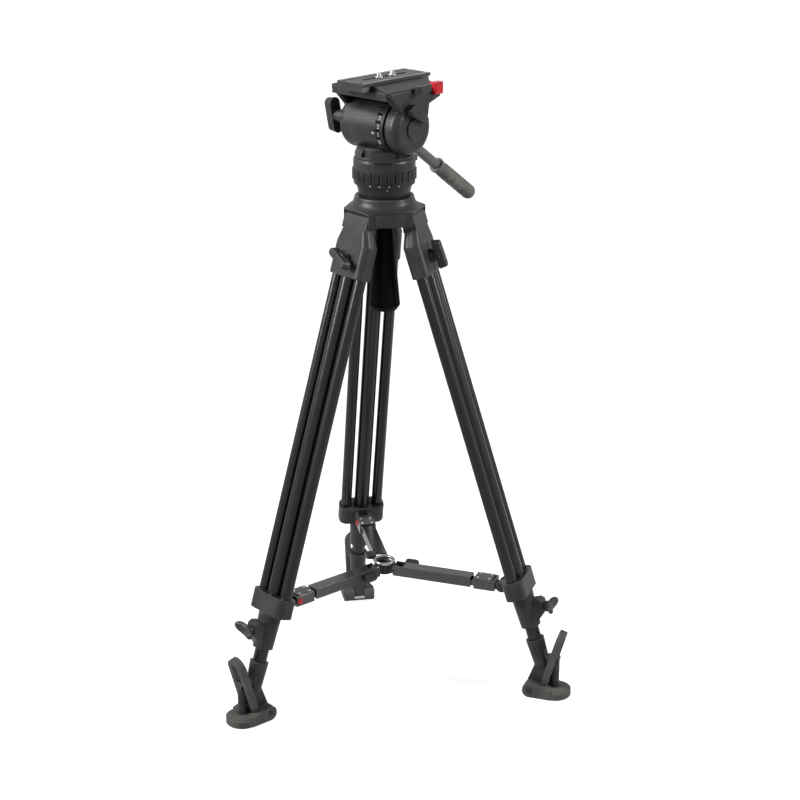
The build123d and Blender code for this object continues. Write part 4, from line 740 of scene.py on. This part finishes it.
class TRIPOD_OT_bar(bpy.types.Operator):
    """Rubber sleeve of the pan bar with a collar and finger ridges below."""

    bl_idname = "tripod.bar"
    bl_label = "Pan Bar Grip"

    def execute(self, context):
        depth = context.scene.tripod_detail.ridge_depth
        low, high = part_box("pan_bar_grip")
        lean = np.radians(36.0)
        along = np.array([0.0, np.cos(lean), -np.sin(lean)])
        upward = np.array([0.0, np.sin(lean), np.cos(lean)])
        level = np.array([1.0, 0.0, 0.0])
        start, end, radius = 166.0 * MM, 259.0 * MM, (high[0] - low[0]) / 2
        reach = np.linspace(start, end, 121)
        angle = np.linspace(0, 2 * np.pi, 64, endpoint=False)
        around = self.radii(reach - start, angle, end - start, radius, depth)
        middle = joint_place("pan_bar_swing")
        middle[0] = (low[0] + high[0]) / 2
        core = middle + reach[:, None] * along
        sleeve = (core[:, None, :] + (around * np.cos(angle))[..., None] * upward
                  + (around * np.sin(angle))[..., None] * level)
        add_piece("grip_sleeve", [sleeve], FINISHES["rubber_grip"], "pan_bar",
                  ("pan_bar_grip",))
        return {"FINISHED"}

    def radii(self, run, angle, length, radius, depth):
        """Radius of the sleeve at each distance from its start and each angle from its top.

        A cylinder with a bell-shaped collar and waist, closed by a half ball. Below it, squared cosine
        ridges are cut in, deepest at the very bottom.
        """
        mouth, waist_depth, collar_share = 0.72, 0.07, 0.05
        first_ridge, ridge_pitch, side_fade = 22.0 * MM, 13.5 * MM, 0.7
        plain_start, plain_end = 17.0 * MM, 13.0 * MM
        dome = np.sqrt(np.clip(1 - np.clip((run - length + radius) / radius, 0, 1) ** 2, 0, 1))
        waist = 1 - waist_depth * swell(run, 11.0 * MM, 5.0 * MM)
        collar = swell(run, 3.5 * MM, 3.0 * MM)
        body = radius * ((1 - collar_share) * waist + collar_share * collar) * dome
        body[0] *= mouth
        wave = np.clip(np.cos(2 * np.pi * (run - first_ridge) / ridge_pitch), 0, 1) ** 2
        held = (run > plain_start) & (run < length - plain_end)
        under = np.clip(-np.cos(angle), 0, 1) ** side_fade
        return body[:, None] - depth * (wave * held)[:, None] * under[None, :]


class TRIPOD_OT_screws(bpy.types.Operator):
    """Camera screws with thread ridges and collars, and the circle and bubble of the level."""

    bl_idname = "tripod.screws"
    bl_label = "Screws and Level"

    def execute(self, context):
        collar_profile = np.array([
            [4.9, -0.3], [5.3, 0.1], [5.3, 0.7], [4.9, 1.1],
            [3.5, 1.1], [3.3, 0.9], [3.3, -0.1], [3.5, -0.3]])
        collar = turned_form(collar_profile * MM, segments=40)
        for name in ("front", "rear"):
            node = f"camera_screw_{name}"
            low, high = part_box(node)
            spot = centre(node)
            spot[2] = 0.0
            pin = turned_form(self.screw_profile(low[2], high[2]), segments=40) + spot
            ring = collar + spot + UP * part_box("camera_plate")[1][2]
            add_piece(f"{name}_camera_screw", [pin], FINISHES["steel"], node, (node,))
            add_piece(f"{name}_screw_collar", [ring], FINISHES["steel"], node, looped=True)
        spot = centre("bubble_level")
        spot[2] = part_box("bubble_level")[1][2]
        line = torus_profile(radius=3.0 * MM, half_width=0.25 * MM, half_height=0.12 * MM, steps=12)
        add_piece("level_circle", [turned_form(line) + spot], FINISHES["black_polymer"], "pan",
                  looped=True)
        # The bubble is a quarter ellipse turned about Z, a little off the circle's middle.
        bubble_r, bubble_height, tip_r = 2.2 * MM, 0.5 * MM, 0.002 * MM
        drift = np.array([0.4, -0.3, 0.0]) * MM
        rise = np.linspace(0, np.pi / 2, 8)
        dome = np.stack([bubble_r * np.cos(rise) + tip_r, bubble_height * np.sin(rise)], axis=-1)
        add_piece("level_bubble", [turned_form(dome, segments=32) + spot + drift], FINISHES["white_mark"],
                  "pan")
        return {"FINISHED"}

    def screw_profile(self, foot, tip):
        """Profile of a camera screw: a flat head, then a thread whose radius is a triangle wave."""
        thread_length, pitch, core_r, ridge, tip_r = 4.6 * MM, 1.27 * MM, 2.75 * MM, 0.4 * MM, 2.2 * MM
        head = np.array([[8.0, 0.2], [8.0, 3.0], [2.8, 3.2]]) * MM + np.array([0.0, foot])
        z = np.linspace(tip - thread_length, tip, 41)
        thread = core_r + ridge * np.abs(((z - z[0]) / pitch) % 1.0 * 2 - 1)
        thread[-1] = tip_r
        return np.concatenate([head, np.stack([thread, z], axis=-1)])


def aimed(toward):
    """Angles of a lamp that shines from a direction: leaned from the zenith, then turned to its azimuth."""
    x, y, z = np.asarray(toward, dtype=float) / np.linalg.norm(toward)
    return (float(np.arccos(z)), 0.0, float(np.arctan2(y, x) + np.pi / 2))


def seen_share(tree, path, mirrored):
    """One for the camera's own rays, the given share for mirrored rays and nothing for the others."""
    glossy = math(tree, "MULTIPLY", path.outputs["Is Glossy Ray"], mirrored)
    return math(tree, "MAXIMUM", path.outputs["Is Camera Ray"], glossy)


class TRIPOD_OT_stage(bpy.types.Operator):
    """Floor, surrounding light, lamps and the camera of the photo's view."""

    bl_idname = "tripod.stage"
    bl_label = "Stage"

    def execute(self, context):
        stage = context.scene.tripod_stage
        self.floor(stage.floor_radius)
        self.surroundings(context.scene, stage.sky)
        self.lamps(stage.sun)
        self.camera(context.scene)
        context.scene.view_settings.view_transform = "Standard"
        return {"FINISHED"}

    def floor(self, radius):
        """Round floor that takes soft shadows and looks white to the camera."""
        corners, drop = 96, 0.2 * MM
        angle = np.linspace(0, 2 * np.pi, corners, endpoint=False)
        ring = np.stack([np.cos(angle), np.sin(angle), 0 * angle], axis=-1) * radius
        mesh = bpy.data.meshes.new("floor")
        mesh.from_pydata((ring - drop * UP).tolist(), [], [list(range(corners))])
        paint = bpy.data.materials.new("floor_white")
        paint.use_nodes = True
        tree = paint.node_tree
        tree.nodes.clear()
        lift, mirrored = 0.82, 0.35
        seen = seen_share(tree, wire(tree, "LightPath", {}), mirrored)
        matt = wire(tree, "BsdfDiffuse", {"Color": (0.5, 0.5, 0.5, 1)})
        glow = wire(tree, "Emission", {"Strength": math(tree, "MULTIPLY", seen, lift)})
        both = wire(tree, "AddShader", {0: matt.outputs["BSDF"], 1: glow.outputs["Emission"]})
        wire(tree, "OutputMaterial", {"Surface": both.outputs["Shader"]})
        mesh.materials.append(paint)
        show("floor", mesh)

    def surroundings(self, scene, sky):
        """White world for the camera, mirrored and passing rays, and a dimmer sky that lights the object."""
        world = bpy.data.worlds.new("studio")
        scene.world = world
        world.use_nodes = True
        tree = world.node_tree
        tree.nodes.clear()
        mirrored = 0.7
        path = wire(tree, "LightPath", {})
        seen = seen_share(tree, path, mirrored)
        clear = math(tree, "MAXIMUM", seen, path.outputs["Is Transmission Ray"])
        dim = wire(tree, "Background", {"Color": (1, 1, 1, 1), "Strength": sky})
        white = wire(tree, "Background", {"Color": (1, 1, 1, 1), "Strength": 1.0})
        choose = wire(tree, "MixShader", {
            "Fac": clear, 1: dim.outputs["Background"], 2: white.outputs["Background"]})
        wire(tree, "OutputWorld", {"Surface": choose.outputs["Shader"]})

    def lamps(self, strength):
        """A wide sun from the left front and a tall softbox on each side."""
        sun = bpy.data.lights.new("key_sun", "SUN")
        sun.energy = strength
        sun.angle = np.radians(24.0)
        show("key_sun", sun).rotation_euler = aimed((-0.42, -0.62, 0.62))
        width, height = 0.48, 1.28
        for name, spot, aim, power, beam in (
                ("left_softbox", (-1.2, -2.2, 1.7), (0, 0, 0.8), 7.4, 56.0),
                ("right_softbox", (2.4, 1.2, 1.6), (0, 0, 0.5), 60.0, 180.0)):
            lamp = bpy.data.lights.new(name, "AREA")
            lamp.energy = power
            lamp.shape = "RECTANGLE"
            lamp.size = width
            lamp.size_y = height
            lamp.spread = np.radians(beam)
            box = show(name, lamp)
            box.location = spot
            box.rotation_euler = aimed(np.array(spot) - np.array(aim))

    def camera(self, scene):
        """Camera at the photo's place, found from the legs, the head and the plate in it."""
        lens = bpy.data.cameras.new("photo_camera")
        lens.lens = 84.54
        lens.sensor_width = 36.0
        lens.shift_x = 0.0196
        lens.clip_end = 100.0
        dip, heading = np.radians(19.56), np.arctan2(0.690, 0.723)
        eye = show("photo_camera", lens)
        eye.location = (1.6126, -1.6898, 1.2206)
        eye.rotation_euler = (np.pi / 2 - dip, 0.0, heading)
        scene.camera = eye


class TRIPOD_PT_panel(bpy.types.Panel):
    """Lists the steps and the settings of the tripod."""

    bl_label = "Video Tripod"
    bl_idname = "TRIPOD_PT_panel"
    bl_space_type = "VIEW_3D"
    bl_region_type = "UI"
    bl_category = "Tripod"

    def draw(self, context):
        for step in STEPS:
            self.layout.operator(step.bl_idname)
        for group in (context.scene.tripod_finish, context.scene.tripod_detail, context.scene.tripod_stage):
            for label in group.__annotations__:
                self.layout.prop(group, label)


STEPS = (TRIPOD_OT_finishes, TRIPOD_OT_marks, TRIPOD_OT_plates, TRIPOD_OT_spreader, TRIPOD_OT_knobs,
         TRIPOD_OT_feet, TRIPOD_OT_bar, TRIPOD_OT_screws, TRIPOD_OT_stage)
SETTINGS = {"tripod_finish": TripodFinish, "tripod_detail": TripodDetail, "tripod_stage": TripodStage}


def register():
    """Make the settings, steps and panel known to Blender."""
    for kind in (*SETTINGS.values(), *STEPS, TRIPOD_PT_panel):
        bpy.utils.register_class(kind)
    for name, kind in SETTINGS.items():
        setattr(bpy.types.Scene, name, PointerProperty(type=kind))


def unregister():
    """Take them away again, in the opposite order."""
    for name in SETTINGS:
        delattr(bpy.types.Scene, name)
    for kind in reversed((*SETTINGS.values(), *STEPS, TRIPOD_PT_panel)):
        bpy.utils.unregister_class(kind)


def main():
    """Make the settings, steps and panel known, then run every step."""
    register()
    for step in STEPS:
        group, call = step.bl_idname.split(".")
        getattr(getattr(bpy.ops, group), call)()


if __name__ == "__main__":
    main()
